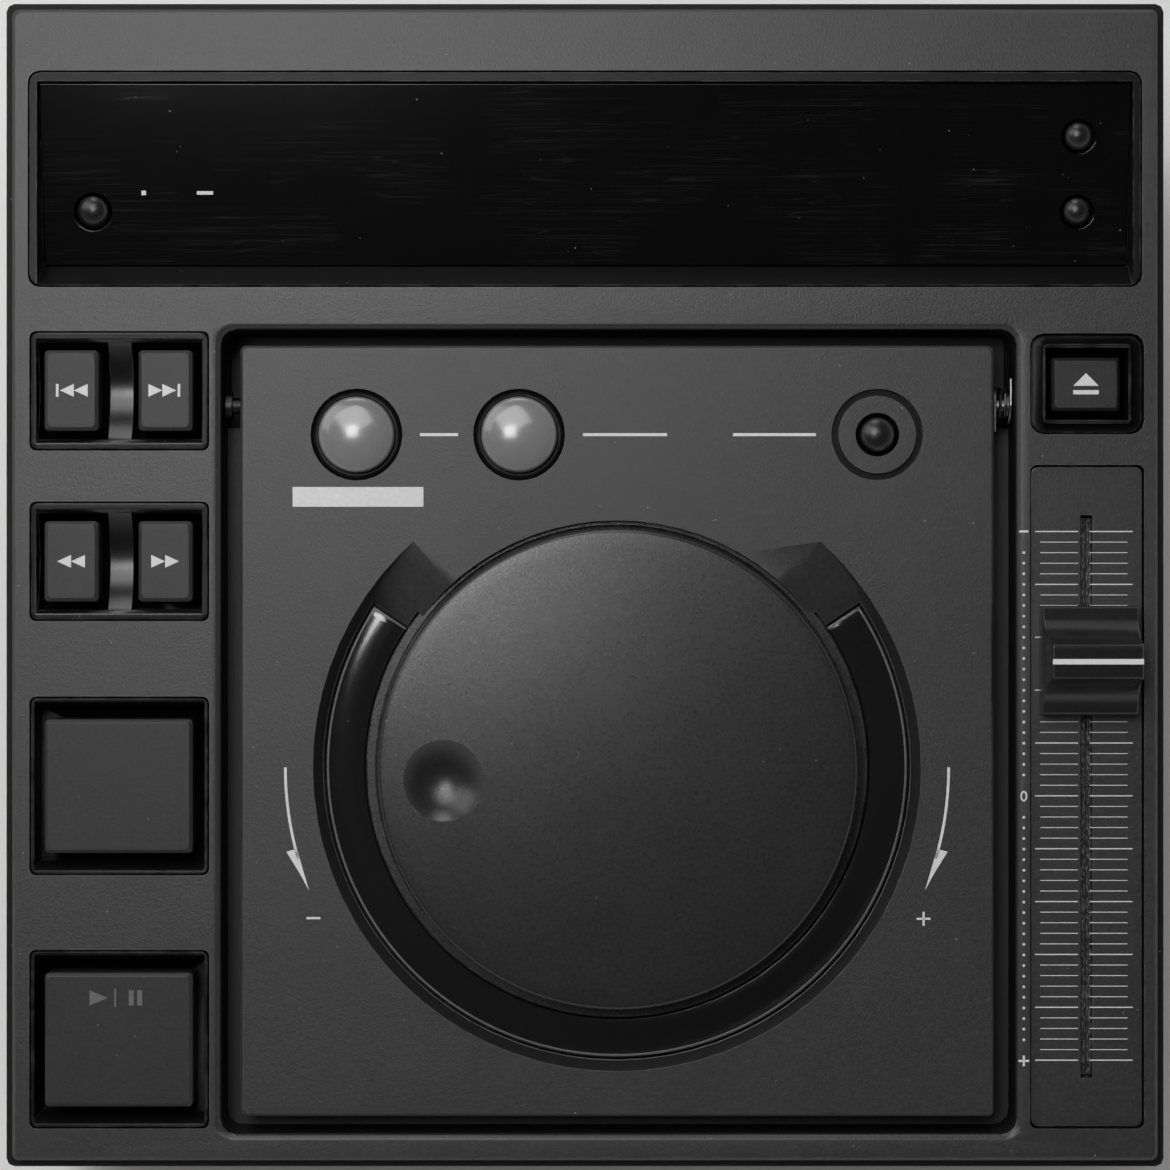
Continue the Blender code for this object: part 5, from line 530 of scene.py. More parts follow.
def add_piece(name: str, shape: bmesh.types.BMesh, finish: Finish, body: str, replaced: Sequence[str] = (),
              sharp: float = 32.0) -> bpy.types.Object:
    """Make a finished piece of a shape that already stands in its place.

    Args:
        name: Name of the piece.
        shape: The shape, which is used up.
        finish: Its finish.
        body: Body that it rides on.
        replaced: CAD nodes that it stands for.
        sharp: Angle in degrees past which an edge is shaded sharp.

    Returns:
        The object.
    """
    mesh = bpy.data.meshes.new(name)
    shape.to_mesh(mesh)
    shape.free()
    mesh.shade_smooth()
    mesh.set_sharp_from_angle(angle=math.radians(sharp))
    mesh.materials.append(finish.material())
    piece = bpy.data.objects.new(name, mesh)
    bpy.context.scene.collection.objects.link(piece)
    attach(piece, body)
    if replaced:
        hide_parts(*replaced)
    log.info("%s rides on %s in %s, %d faces", name, body, finish.name, len(mesh.polygons))
    return piece


def merged_shape(node: str) -> bmesh.types.BMesh:
    """A CAD node's mesh with its points merged and its flat faces joined, cut up again only at holes."""
    shape = bmesh.new()
    shape.from_mesh(frame["nodes"][node].data)
    bmesh.ops.remove_doubles(shape, verts=shape.verts, dist=MERGE_DISTANCE)
    bmesh.ops.dissolve_limit(shape, angle_limit=math.radians(0.4), verts=shape.verts, edges=shape.edges,
                             use_dissolve_boundaries=False)
    bmesh.ops.triangulate(shape, faces=[face for face in shape.faces if len(face.verts) > 4],
                          ngon_method="BEAUTY")
    return shape


def fine_copy(node: str, finish: Finish, edge: float = 0.00015, segments: int = 2,
              sharp: float = 32.0) -> bpy.types.Object:
    """A copy of a CAD node with its outer edges rounded, which stands for the node.

    Args:
        node: The CAD node.
        finish: Finish of the copy.
        edge: Width of the rounding.
        segments: Faces across the rounding.
        sharp: Angle in degrees past which an edge is rounded and shaded sharp.

    Returns:
        The copy.
    """
    shape = merged_shape(node)
    if edge:
        corners = [line for line in shape.edges if line.is_convex and line.calc_face_angle() > math.radians(sharp)]
        bmesh.ops.bevel(shape, geom=corners, offset=edge, offset_type="OFFSET", affect="EDGES",
                        segments=segments, profile=0.5, material=-1, clamp_overlap=True)
    piece = add_piece(node + "_fine", shape, finish, body_of(node), (node,), sharp)
    flat = piece.modifiers.new("flat_faces", "WEIGHTED_NORMAL")
    flat.keep_sharp = True
    return piece


def paint(piece: bpy.types.Object, finish: Finish, wanted: Callable[[Vector, Vector], bool]) -> None:
    """Give some faces of a piece a second finish.

    Args:
        piece: The piece.
        finish: The second finish.
        wanted: Test of a face's middle and normal, both on the panel's axes.
    """
    piece.data.materials.append(finish.material())
    inverse = PANEL.matrix().inverted()
    turn = inverse.to_3x3()
    for face in piece.data.polygons:
        if wanted(inverse @ face.center, turn @ face.normal):
            face.material_index = len(piece.data.materials) - 1


def turned(profile: Iterable[tuple[float, float]], steps: int) -> bmesh.types.BMesh:
    """A shape turned about z.

    Args:
        profile: Radius and height of each point, from the axis round to the axis or closed.
        steps: Faces round the axis.

    Returns:
        The shape, with its normals out.
    """
    shape = bmesh.new()
    verts = [shape.verts.new((radius, 0.0, height)) for radius, height in profile]
    edges = [shape.edges.new(pair) for pair in zip(verts, verts[1:])]
    bmesh.ops.spin(shape, geom=verts + edges, cent=(0, 0, 0), axis=(0, 0, 1), dvec=(0, 0, 0),
                   angle=math.tau, steps=steps, use_merge=True, use_duplicate=False)
    bmesh.ops.remove_doubles(shape, verts=shape.verts, dist=MERGE_DISTANCE)
    bmesh.ops.recalc_face_normals(shape, faces=shape.faces)
    return shape


def arc(middle: tuple[float, float], radius: float, start: float, end: float,
        steps: int) -> list[tuple[float, float]]:
    """Points of an arc.

    Args:
        middle: Centre.
        radius: Radius.
        start: First angle in degrees.
        end: Last angle in degrees.
        steps: Number of stretches.

    Returns:
        The points, both ends included.
    """
    angles = [math.radians(start + (end - start) * step / steps) for step in range(steps + 1)]
    return [(middle[0] + radius * math.cos(angle), middle[1] + radius * math.sin(angle)) for angle in angles]


def box(width: float, length: float, bottom: float, top: float, x: float = 0.0, y: float = 0.0) -> bmesh.types.BMesh:
    """A box with upright sides about a place.

    Args:
        width: Size along x.
        length: Size along y.
        bottom: Lowest height.
        top: Highest height.
        x: Place of its middle.
        y: Place of its middle.

    Returns:
        The shape.
    """
    shape = bmesh.new()
    size = Matrix.Diagonal((width, length, top - bottom, 1.0))
    bmesh.ops.create_cube(shape, size=1.0, matrix=Matrix.Translation((x, y, (bottom + top) / 2)) @ size)
    return shape


def eased(shape: bmesh.types.BMesh, width: float, segments: int = 2) -> bmesh.types.BMesh:
    """The same shape with every edge rounded."""
    bmesh.ops.bevel(shape, geom=shape.edges[:], offset=width, offset_type="OFFSET", affect="EDGES",
                    segments=segments, profile=0.5, material=-1, clamp_overlap=True)
    return shape


def placed(shape: bmesh.types.BMesh, matrix: Matrix) -> bmesh.types.BMesh:
    """The same shape, moved by a matrix."""
    bmesh.ops.transform(shape, matrix=matrix, verts=shape.verts)
    return shape


def carved(shape: bmesh.types.BMesh, tool: bmesh.types.BMesh, operation: str) -> bmesh.types.BMesh:
    """A shape joined with a second one, or cut by it. Both are used up.

    Args:
        shape: The shape.
        tool: The second shape.
        operation: UNION or DIFFERENCE.

    Returns:
        The result.
    """
    objects = []
    for name, part in (("carved", shape), ("carver", tool)):
        mesh = bpy.data.meshes.new(name)
        part.to_mesh(mesh)
        part.free()
        item = bpy.data.objects.new(name, mesh)
        bpy.context.scene.collection.objects.link(item)
        objects.append(item)
    change = objects[0].modifiers.new("change", "BOOLEAN")
    change.operation = operation
    change.solver = "EXACT"
    change.object = objects[1]
    bpy.context.view_layer.update()
    result = bmesh.new()
    result.from_mesh(objects[0].evaluated_get(bpy.context.evaluated_depsgraph_get()).to_mesh())
    for item in objects:
        mesh = item.data
        bpy.data.objects.remove(item)
        bpy.data.meshes.remove(mesh)
    return result


def together(shapes: Iterable[bmesh.types.BMesh]) -> bmesh.types.BMesh:
    """One shape that holds several, which are used up."""
    whole = bmesh.new()
    for shape in shapes:
        mesh = bpy.data.meshes.new("passing")
        shape.to_mesh(mesh)
        shape.free()
        whole.from_mesh(mesh)
        bpy.data.meshes.remove(mesh)
    return whole


@dataclass
class Marks:
    """Printed marks on one face of the panel, as thin raised shapes."""

    level: float
    thickness: float = 0.00006
    shapes: list = field(default_factory=list)

    def raised(self, shape: bmesh.types.BMesh) -> None:
        """Give flat faces the thickness of the print and keep them.

        Args:
            shape: Flat faces at height 0.
        """
        sheet = bmesh.ops.extrude_face_region(shape, geom=shape.faces[:])
        verts = [item for item in sheet["geom"] if isinstance(item, bmesh.types.BMVert)]
        bmesh.ops.translate(shape, verts=verts, vec=(0, 0, self.thickness))
        bmesh.ops.recalc_face_normals(shape, faces=shape.faces)
        self.shapes.append(placed(shape, Matrix.Translation((0, 0, self.level - self.thickness / 3))))

    def bar(self, x: float, v: float, width: float, length: float) -> None:
        """A bar about a place, with its size along x and along v."""
        shape = bmesh.new()
        place = Matrix.Translation((x, v, 0)) @ Matrix.Diagonal((width / 2, length / 2, 1.0, 1.0))
        bmesh.ops.create_grid(shape, x_segments=1, y_segments=1, size=1.0, matrix=place)
        self.raised(shape)

    def dot(self, x: float, v: float, radius: float, steps: int = 16) -> None:
        """A round dot."""
        shape = bmesh.new()
        place = Matrix.Translation((x, v, 0))
        bmesh.ops.create_circle(shape, cap_ends=True, segments=steps, radius=radius, matrix=place)
        self.raised(shape)

    def nought(self, x: float, v: float, width: float, length: float, line: float) -> None:
        """An upright oval ring.

        Args:
            x: Its middle.
            v: Its middle.
            width: Outer size along x.
            length: Outer size along v.
            line: Thickness of its line.
        """
        shape = bmesh.new()
        for cut in (0.0, line):
            size = Matrix.Diagonal((width / 2 - cut, length / 2 - cut, 1.0, 1.0))
            bmesh.ops.create_circle(shape, segments=20, radius=1.0, matrix=Matrix.Translation((x, v, 0)) @ size)
        bmesh.ops.bridge_loops(shape, edges=shape.edges[:])
        self.raised(shape)

    def triangle(self, x: float, v: float, width: float, length: float, direction: float) -> None:
        """A triangle that points along x, or back where direction is -1.

        Args:
            x: Middle of the triangle.
            v: Middle of the triangle.
            width: Size along x.
            length: Size along v.
            direction: 1 or -1.
        """
        shape = bmesh.new()
        base, tip = x - direction * width / 2, x + direction * width / 2
        shape.faces.new([shape.verts.new(point) for point in ((base, v - length / 2, 0), (tip, v, 0),
                                                              (base, v + length / 2, 0))])
        self.raised(shape)

    def strip(self, x: float, v: float, inner: float, outer: float, start: float, end: float, steps: int) -> None:
        """A strip bent round a centre.

        Args:
            x: Centre.
            v: Centre.
            inner: Inner radius.
            outer: Outer radius.
            start: First angle in degrees.
            end: Last angle in degrees.
            steps: Faces along it.
        """
        shape = bmesh.new()
        turn = Matrix.Rotation(math.radians(start), 4, "Z")
        verts = [shape.verts.new(turn @ Vector((radius, 0, 0))) for radius in (inner, outer)]
        edge = shape.edges.new(verts)
        bmesh.ops.spin(shape, geom=[*verts, edge], cent=(0, 0, 0), axis=(0, 0, 1), dvec=(0, 0, 0),
                       angle=math.radians(end - start), steps=steps, use_merge=False, use_duplicate=False)
        bmesh.ops.remove_doubles(shape, verts=shape.verts, dist=MERGE_DISTANCE)
        placed(shape, Matrix.Translation((x, v, 0)))
        self.raised(shape)

    def piece(self, name: str, finish: Finish, body: str, matrix: Optional[Matrix] = None) -> bpy.types.Object:
        """All the marks as one piece.

        Args:
            name: Name of the piece.
            finish: Its finish.
            body: Body that it rides on.
            matrix: Place of the face, or none for the panel's top face.

        Returns:
            The object.
        """
        return add_piece(name, placed(together(self.shapes), matrix or PANEL.matrix()), finish, body)


@dataclass
class Studio:
    """Floor, lamps and the camera square above the panel, as the photograph is taken."""

    camera_height: float = 0.640
    lens: float = 105.0
    sensor: float = 36.0
    floor_size: float = 4.0
    key_place: Place = (-0.144, 0.320, 0.90)
    key_size: float = 0.45
    key_power: float = 3.2
    near_place: Place = (-0.150, 0.105, 0.90)
    near_size: float = 0.16
    near_power: float = 0.9
    side_place: Place = (-0.75, 0.55, 0.80)
    side_size: float = 0.8
    side_power: float = 4.6
    rear_place: Place = (-0.1, 1.10, 0.50)
    rear_size: float = 0.5
    rear_power: float = 3.0
    horizon: float = 0.85
    ceiling: float = 0.05
    horizon_top: float = 0.12
    ceiling_start: float = 0.75

    def build(self) -> None:
        """Make the floor, the lamps, the world and the camera."""
        scene = bpy.context.scene
        scene.view_settings.view_transform = "Standard"
        shape = bmesh.new()
        bmesh.ops.create_grid(shape, x_segments=1, y_segments=1, size=self.floor_size / 2)
        mesh = bpy.data.meshes.new("floor")
        shape.to_mesh(mesh)
        shape.free()
        mesh.materials.append(self.floor_material())
        floor = bpy.data.objects.new("floor", mesh)
        scene.collection.objects.link(floor)
        self.lamp("key_lamp", self.key_place, self.key_size, self.key_power)
        self.lamp("near_lamp", self.near_place, self.near_size, self.near_power)
        self.lamp("side_lamp", self.side_place, self.side_size, self.side_power)
        self.lamp("rear_lamp", self.rear_place, self.rear_size, self.rear_power)
        self.world()
        data = bpy.data.cameras.new("camera")
        data.lens = self.lens
        data.sensor_width = self.sensor
        data.clip_start = 0.01
        camera = bpy.data.objects.new("camera", data)
        camera.matrix_world = PANEL.matrix(0, 0, self.camera_height)
        scene.collection.objects.link(camera)
        scene.camera = camera

    def floor_material(self) -> bpy.types.Material:
        """Pale paper with a slight mottle.

        Returns:
            The material.
        """
        material = bpy.data.materials.new("floor")
        material.use_nodes = True
        bench = NodeBench(material.node_tree)
        shader = material.node_tree.nodes["Principled BSDF"]
        tone = bench.noise(bench.add("TexCoord").outputs["Object"], 3.0, 3.0)
        bench.feed(shader.inputs["Base Color"], bench.mix(tone, grey(226), grey(232)))
        shader.inputs["Roughness"].default_value = 0.85
        return material

    def lamp(self, name: str, place: Place, size: float, power: float) -> None:
        """A square soft lamp at a place over the panel, turned to the panel's middle.

        Args:
            name: Name of the lamp.
            place: Its place on the panel's axes.
            size: Its side.
            power: Its power in watts.
        """
        data = bpy.data.lights.new(name, "AREA")
        data.shape = "SQUARE"
        data.size = size
        data.energy = power
        lamp = bpy.data.objects.new(name, data)
        spot = PANEL.matrix(*place).translation
        aim = PANEL.matrix().translation - spot
        lamp.matrix_world = Matrix.Translation(spot) @ aim.to_track_quat("-Z", "Y").to_matrix().to_4x4()
        bpy.context.scene.collection.objects.link(lamp)

    def world(self) -> None:
        """Surroundings that are pale round the horizon and dim overhead, as in a studio with a dark ceiling."""
        world = bpy.data.worlds.new("world")
        world.use_nodes = True
        bench = NodeBench(world.node_tree)
        back = world.node_tree.nodes["Background"]
        height = bench.add("SeparateXYZ")
        bench.feed(height.inputs[0], bench.add("TexCoord").outputs["Generated"])
        strength = bench.band(height.outputs["Z"], self.horizon_top, self.ceiling_start, self.horizon, self.ceiling)
        bench.feed(back.inputs["Strength"], strength)
        back.inputs["Color"].default_value = (1.0, 1.0, 1.0, 1.0)
        bpy.context.scene.world = world


@dataclass
class Casing:
    """Lower case with its feet and screws, and the sloping top panel."""

    foot_radius: float = 0.0095
    foot_sole_radius: float = 0.008
    foot_top: float = 0.0077
    foot_taper: float = 0.002
    foot_edge: float = 0.0006
    foot_recess_radius: float = 0.0035
    foot_recess_depth: float = 0.003
    foot_steps: int = 64

    def build(self) -> None:
        """Dress the case and its small parts."""
        fine_copy("lower_case", CASE_BLACK, 0.0002)
        self.top_panel()
        for node in ("foot_front_left", "foot_front_right", "foot_rear_left", "foot_rear_right"):
            self.foot(node)
        for node in ("case_screw_rear_left", "case_screw_rear_right", "case_screw_left", "case_screw_right"):
            fine_copy(node, STEEL, 0.0002)

    def top_panel(self) -> None:
        """Panel with its grey top face, painted shade in black on the walls inside its wells, and black underneath.
        """
        piece = fine_copy("top_panel", PANEL_GREY, 0.00015)
        # Painted shade: the walls of the deep wells are painted black for the dark that falls in them.
        paint(piece, CASE_BLACK, lambda place, normal: place.z < -0.0009)

    def foot(self, node: str) -> None:
        """A rubber foot turned with a rounded sole and a recess for its screw.

        Args:
            node: The CAD foot that it stands for.
        """
        low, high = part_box(node)
        edge = self.foot_edge
        profile = [(0.0, self.foot_recess_depth), (self.foot_recess_radius, self.foot_recess_depth),
                   *arc((self.foot_recess_radius + edge, edge), edge, 180, 270, 4),
                   *arc((self.foot_sole_radius - edge, edge), edge, 270, 340, 4),
                   (self.foot_radius, self.foot_taper),
                   *arc((self.foot_radius - edge, self.foot_top - edge), edge, 0, 90, 4), (0.0, self.foot_top)]
        shape = turned(profile, self.foot_steps)
        middle = (low + high) / 2
        add_piece(node + "_fine", placed(shape, Matrix.Translation((middle.x, middle.y, low.z))), RUBBER,
                  body_of(node), (node,))


@dataclass
class Display:
    """Display bezel, its glossy window, the module behind it and three small domes."""

    window_v: float = 0.07735
    window_level: float = -0.0034
    window_tilt: float = math.radians(7.97)
    mark_offset: float = -0.0034

    def build(self) -> None:
        """Dress the display."""
        fine_copy("display_bezel", BEZEL_BLACK, 0.00015)
        fine_copy("display_window", DISPLAY_GLASS, 0.0002, 3)
        fine_copy("display_module", BOARD_GREEN, 0.0001)
        for node in ("time_button", "key_hold_button", "tempo_range_button"):
            fine_copy(node, BUTTON_DARK, 0.0)
        marks = Marks(0.0)
        marks.bar(-0.08325, self.mark_offset, 0.00085, 0.00085)
        marks.bar(-0.0717, self.mark_offset, 0.00305, 0.00065)
        tilt = Matrix.Rotation(self.window_tilt, 4, "X")
        marks.piece("display_marks", PRINT_PALE, "case", PANEL.matrix(0, self.window_v, self.window_level) @ tilt)


@dataclass
class Keys:
    """Key column at the left, and the open key with its bezel at the right."""

    column_x: float = -0.08735
    search_offset: float = 0.0088
    saddle_width: float = 0.0072
    track_v: float = 0.036416
    search_v: float = 0.00443
    search_top: float = 0.0016
    cue_top: float = 0.0012
    play_mark_v: float = -0.0773
    arrow_width: float = 0.0026
    arrow_length: float = 0.0024
    stop_width: float = 0.0005
    open_x: float = 0.0942
    open_v: float = 0.03775
    open_top: float = -0.0017

    def build(self) -> None:
        """Dress the bezels, keys and key board, and print the symbols on the keys."""
        for node in ("cue_bezel", "play_bezel", "open_bezel"):
            fine_copy(node, BEZEL_BLACK, 0.00015)
        for node in ("track_bezel", "search_bezel"):
            paint(fine_copy(node, BEZEL_BLACK, 0.00015), CAP_BLACK,
                  lambda place, normal: abs(place.x - self.column_x) < self.saddle_width / 2 and normal.z > 0.4)
        for node in ("track_back_key", "track_forward_key", "search_back_key", "search_forward_key", "cue_key",
                     "play_key", "open_key"):
            fine_copy(node, KEY_GREY, 0.00018, 3)
        fine_copy("key_board", BOARD_GREEN, 0.0001)
        for row_v, name, stops in ((self.track_v, "track", True), (self.search_v, "search", False)):
            for direction, way in ((-1, "back"), (1, "forward")):
                self.search_symbol(row_v, f"{name}_{way}", direction, stops)
        self.play_symbol()
        self.open_symbol()

    def open_symbol(self) -> None:
        """Open symbol: a triangle over a bar, on the open key."""
        marks = Marks(self.open_top)
        shape = bmesh.new()
        points = ((-0.0024, -0.0003), (0.0024, -0.0003), (0.0, 0.0021))
        shape.faces.new([shape.verts.new((self.open_x + x, self.open_v + v, 0)) for x, v in points])
        marks.raised(shape)
        marks.bar(self.open_x, self.open_v - 0.0015, 0.0048, 0.0008)
        marks.piece("open_symbol", PRINT_PALE, "open")

    def search_symbol(self, v: float, key: str, direction: int, stop: bool) -> None:
        """Two arrows on a key, with a bar ahead of them where the key skips a track.

        Args:
            v: Middle of the row.
            key: Body of the key.
            direction: 1 for forward, -1 for back.
            stop: Whether there is a bar.
        """
        marks = Marks(self.search_top)
        middle = self.column_x + direction * self.search_offset
        start = middle - direction * self.arrow_width * (1.0 if not stop else 1.2)
        for number in (0, 1):
            marks.triangle(start + direction * self.arrow_width * (number + 0.5), v, self.arrow_width,
                           self.arrow_length, direction)
        if stop:
            marks.bar(start + direction * (2 * self.arrow_width + self.stop_width), v, self.stop_width,
                      self.arrow_length)
        marks.piece(key + "_symbol", PRINT_PALE, key)

    def play_symbol(self) -> None:
        """Play and pause symbol, printed dim on the play key."""
        marks = Marks(self.cue_top)
        marks.triangle(self.column_x - 0.0037, self.play_mark_v, 0.0034, 0.0028, 1)
        marks.bar(self.column_x - 0.0006, self.play_mark_v, 0.0003, 0.0034)
        for offset in (0.0024, 0.0040):
            marks.bar(self.column_x + offset, self.play_mark_v, 0.0009, 0.0028)
        marks.piece("play_symbol", PRINT_DIM, "play")


@dataclass
class Fader:
    """Fader plate with its scale, felt lips in the slot, lever, cap and housing."""

    slot_x: float = 0.0942
    mark_x: float = 0.0937
    middle_v: float = -0.0396
    plate_level: float = -0.0010
    pitch: float = 0.001986
    marks: int = 51
    major_width: float = 0.01835
    minor_width: float = 0.0164
    slot_width: float = 0.0022
    slot_length: float = 0.1057
    slot_middle_v: float = -0.03975
    line: float = 0.00014
    major_line: float = 0.00021
    dots_x: float = 0.0823
    dot_radius: float = 0.00026
    cap_v: float = -0.014076
    cap_top: float = 0.0140
    cap_line: float = 0.0010
    ridge_width: float = 0.0167

    def build(self) -> None:
        """Dress the fader and print its scale."""
        fine_copy("fader_plate", PANEL_GREY, 0.0001)
        fine_copy("fader_housing", ZINC, 0.0001)
        fine_copy("fader_lever", NYLON, 0.0001)
        fine_copy("fader_cap", CAP_BLACK, 0.0003, 3, 40.0)
        self.scale()
        self.lips()
        line = box(self.ridge_width, self.cap_line, self.cap_top - 0.0001, self.cap_top + 0.00006, self.slot_x,
                   self.cap_v)
        add_piece("fader_cap_line", placed(line, PANEL.matrix()), PRINT_PALE, "fader")

    def scale(self) -> None:
        """Scale marks on both sides of the slot, and the dots, bar, nought and plus beside them."""
        plate = Marks(self.plate_level)
        beside = Marks(0.0)
        top_v = self.middle_v + (self.marks - 1) / 2 * self.pitch
        middle = (self.marks - 1) // 2
        for number in range(self.marks):
            v = top_v - number * self.pitch
            major = number % 5 == 0
            width = self.major_width if major else self.minor_width
            line = self.major_line if major else self.line
            half = (width - self.slot_width) / 2
            for side in (-1, 1):
                plate.bar(self.mark_x + side * (self.slot_width + half) / 2, v, half, line)
            if 1 < number < middle - 1 or middle + 1 < number < self.marks - 2:
                beside.dot(self.dots_x, v, self.dot_radius, 10)
        beside.bar(self.dots_x, top_v, 0.0017, 0.0004)
        beside.nought(self.dots_x, top_v - middle * self.pitch, 0.0013, 0.0020, 0.0003)
        low_v = top_v - (self.marks - 1) * self.pitch
        beside.bar(self.dots_x, low_v, 0.0020, 0.0004)
        beside.bar(self.dots_x, low_v, 0.0004, 0.0020)
        plate.piece("fader_scale", PRINT_PALE, "case")
        beside.piece("fader_dots", PRINT_PALE, "case")

    def lips(self) -> None:
        """Felt lips that close the slot from both sides."""
        shapes = [eased(box(self.slot_width * 0.46, self.slot_length - 0.001, -0.0030, -0.0022,
                            self.slot_x + side * self.slot_width * 0.25, self.slot_middle_v), 0.0001)
                  for side in (-1, 1)]
        add_piece("fader_lips", placed(together(shapes), PANEL.matrix()), FELT, "case")


@dataclass
class Lid:
    """Lid with its smoked window, underframe, hinge, loop buttons and printed marks."""

    middle_x: float = 0.006
    dial_v: float = -0.0342
    row_v: float = 0.0282
    line: float = 0.00056
    arrow_radius: float = 0.0622
    arrow_width: float = 0.0005
    button_places: Place = (-0.0429, -0.0124, 0.0548)
    groove_radius: float = 0.0088
    disc_radius: float = 0.0072
    wall_radius: float = 0.0545
    window_inner: float = 0.0475
    window_outer: float = 0.0550
    window_start: float = 146.4
    window_end: float = 393.6
    window_bottom: float = -0.0052
    window_top: float = -0.0036
    highlight_width: float = 0.00045
    highlight_inset: float = 0.0003
    highlight_rise: float = 0.0001
    rounding: float = 0.0003

    def build(self) -> None:
        """Dress the lid and its parts, and print the marks on it."""
        panel = fine_copy("lid_panel", LID_GREY, 0.00015, 2, 28.0)
        # Painted shade: the grooves round the buttons and the moat's outer wall are painted black for the dark of
        # their depth.
        paint(panel, BEZEL_BLACK, self.gets_painted_shade)
        self.window()
        fine_copy("lid_underframe", MOULDING, 0.0001)
        # Painted shade: the left pin gets the dark steel because the left gap lies in shade; the right pin stays
        # bright.
        fine_copy("hinge_pin_left", STEEL_DARK_AND_SHADE, 0.0001)
        fine_copy("hinge_pin_right", SPRING_STEEL, 0.0001)
        fine_copy("hinge_spring", SPRING_STEEL, 0.0)
        for node in ("loop_in_button", "loop_out_button"):
            fine_copy(node, LOOP_DOME, 0.0)
        fine_copy("reloop_button", BUTTON_DARK, 0.0)
        self.print_marks()

    def window(self) -> None:
        """Smoked crescent with rounded corners, and a pale strip round its edge: a painted highlight for the light
        that the window's bevel catches.
        """
        crescent = self.sector(self.window_inner, self.window_outer, self.window_start, self.window_end,
                               self.window_bottom, self.window_top)
        add_piece("disc_window_fine", placed(crescent, PANEL.matrix(self.middle_x, self.dial_v)), SMOKED_WINDOW,
                  "lid", ("disc_window",))
        turn = math.degrees(self.highlight_width / self.window_outer)
        inset = math.degrees(self.highlight_inset / self.window_outer)
        outer = self.window_outer - self.highlight_inset
        shapes = []
        level = self.window_top
        for start, end, inner in ((self.window_start + inset, self.window_start + inset + turn, self.window_inner),
                                  (self.window_start + inset, self.window_end - inset, outer - self.highlight_width),
                                  (self.window_end - inset - turn, self.window_end - inset, self.window_inner)):
            shapes.append(self.sector(inner, outer, start, end, level - self.highlight_width / 2, level + self.highlight_rise))
        add_piece("window_painted_highlight", placed(together(shapes), PANEL.matrix(self.middle_x, self.dial_v)), WINDOW_HIGHLIGHT, "lid")

    def sector(self, inner: float, outer: float, start: float, end: float, bottom: float,
               top: float) -> bmesh.types.BMesh:
        """Part of a flat ring, with its top edges rounded.

        Args:
            inner: Inner radius.
            outer: Outer radius.
            start: First angle in degrees.
            end: Last angle in degrees.
            bottom: Lowest height.
            top: Highest height.

        Returns:
            The shape about the dial's axis.
        """
        shape = bmesh.new()
        turn = Matrix.Rotation(math.radians(start), 4, "Z")
        corners = ((inner, bottom), (outer, bottom), (outer, top), (inner, top))
        verts = [shape.verts.new(turn @ Vector((radius, 0, height))) for radius, height in corners]
        face = shape.faces.new(verts)
        steps = max(1, int(abs(end - start) / 2.0))
        bmesh.ops.spin(shape, geom=[*verts, *face.edges, face], cent=(0, 0, 0), axis=(0, 0, 1), dvec=(0, 0, 0),
                       angle=math.radians(end - start), steps=steps, use_merge=False, use_duplicate=False)
        bmesh.ops.remove_doubles(shape, verts=shape.verts, dist=MERGE_DISTANCE)
        bmesh.ops.recalc_face_normals(shape, faces=shape.faces)
        rounding = min(self.rounding, (top - bottom) / 4, (outer - inner) / 4)
        sharp = [line for line in shape.edges if line.is_convex and line.calc_face_angle() > math.radians(40)]
        bmesh.ops.bevel(shape, geom=sharp, offset=rounding, offset_type="OFFSET", affect="EDGES", segments=3,
                        profile=0.5, material=-1, clamp_overlap=True)
        return shape

    def gets_painted_shade(self, place: Vector, normal: Vector) -> bool:
        """Whether a face of the lid lies in a groove round a button, or is a wall of the moat, where black is painted
        as shade.

        Args:
            place: Middle of the face on the panel's axes.
            normal: Its normal.

        Returns:
            Whether it gets the black of painted shade.
        """
        if place.z > -0.0002:
            return False
        spans = [math.hypot(place.x - x, place.y - self.row_v) for x in self.button_places]
        in_button = min(spans[:2]) < self.groove_radius or self.disc_radius < spans[2] < self.groove_radius
        span = math.hypot(place.x - self.middle_x, place.y - self.dial_v)
        return in_button or (abs(normal.z) < 0.35 and span > self.wall_radius)

    def print_marks(self) -> None:
        """Lines between the loop buttons, a plain plate, turning arrows and their signs."""
        marks = Marks(0.0)
        for left, right in ((-0.03094, -0.02381), (-0.00038, 0.01538), (0.02775, 0.04331)):
            marks.bar((left + right) / 2, self.row_v, right - left, self.line)
        marks.bar(-0.04257, 0.01653, 0.02454, 0.00370)
        for side in (-1, 1):
            first = 180.0 if side < 0 else 0.0
            inner = self.arrow_radius - self.arrow_width / 2
            sweep = -side * 16.0
            marks.strip(self.middle_x, self.dial_v, inner, inner + self.arrow_width, first, first + sweep, 16)
            self.arrow_head(marks, side)
        marks.bar(-0.05094, -0.06248, 0.0026, 0.0004)
        marks.bar(0.0635, -0.0626, 0.0026, 0.0004)
        marks.bar(0.0635, -0.0626, 0.0004, 0.0026)
        marks.piece("lid_marks", PRINT_PALE, "lid")

    def arrow_head(self, marks: Marks, side: int) -> None:
        """Half an arrow head at the front end of a turning arrow.

        Args:
            marks: Marks that it joins.
            side: -1 at the left of the dial, 1 at the right.
        """
        shape = bmesh.new()
        points = []
        for radius, angle in ((self.arrow_radius - 0.00025, 14.3), (self.arrow_radius + 0.0018, 14.3),
                              (self.arrow_radius + 0.0005, 18.6), (self.arrow_radius, 21.8),
                              (self.arrow_radius - 0.00025, 18.0)):
            turn = math.radians(angle)
            points.append((self.middle_x + side * radius * math.cos(turn), self.dial_v - radius * math.sin(turn)))
        if side > 0:
            points.reverse()
        shape.faces.new([shape.verts.new((x, v, 0)) for x, v in points])
        marks.raised(shape)


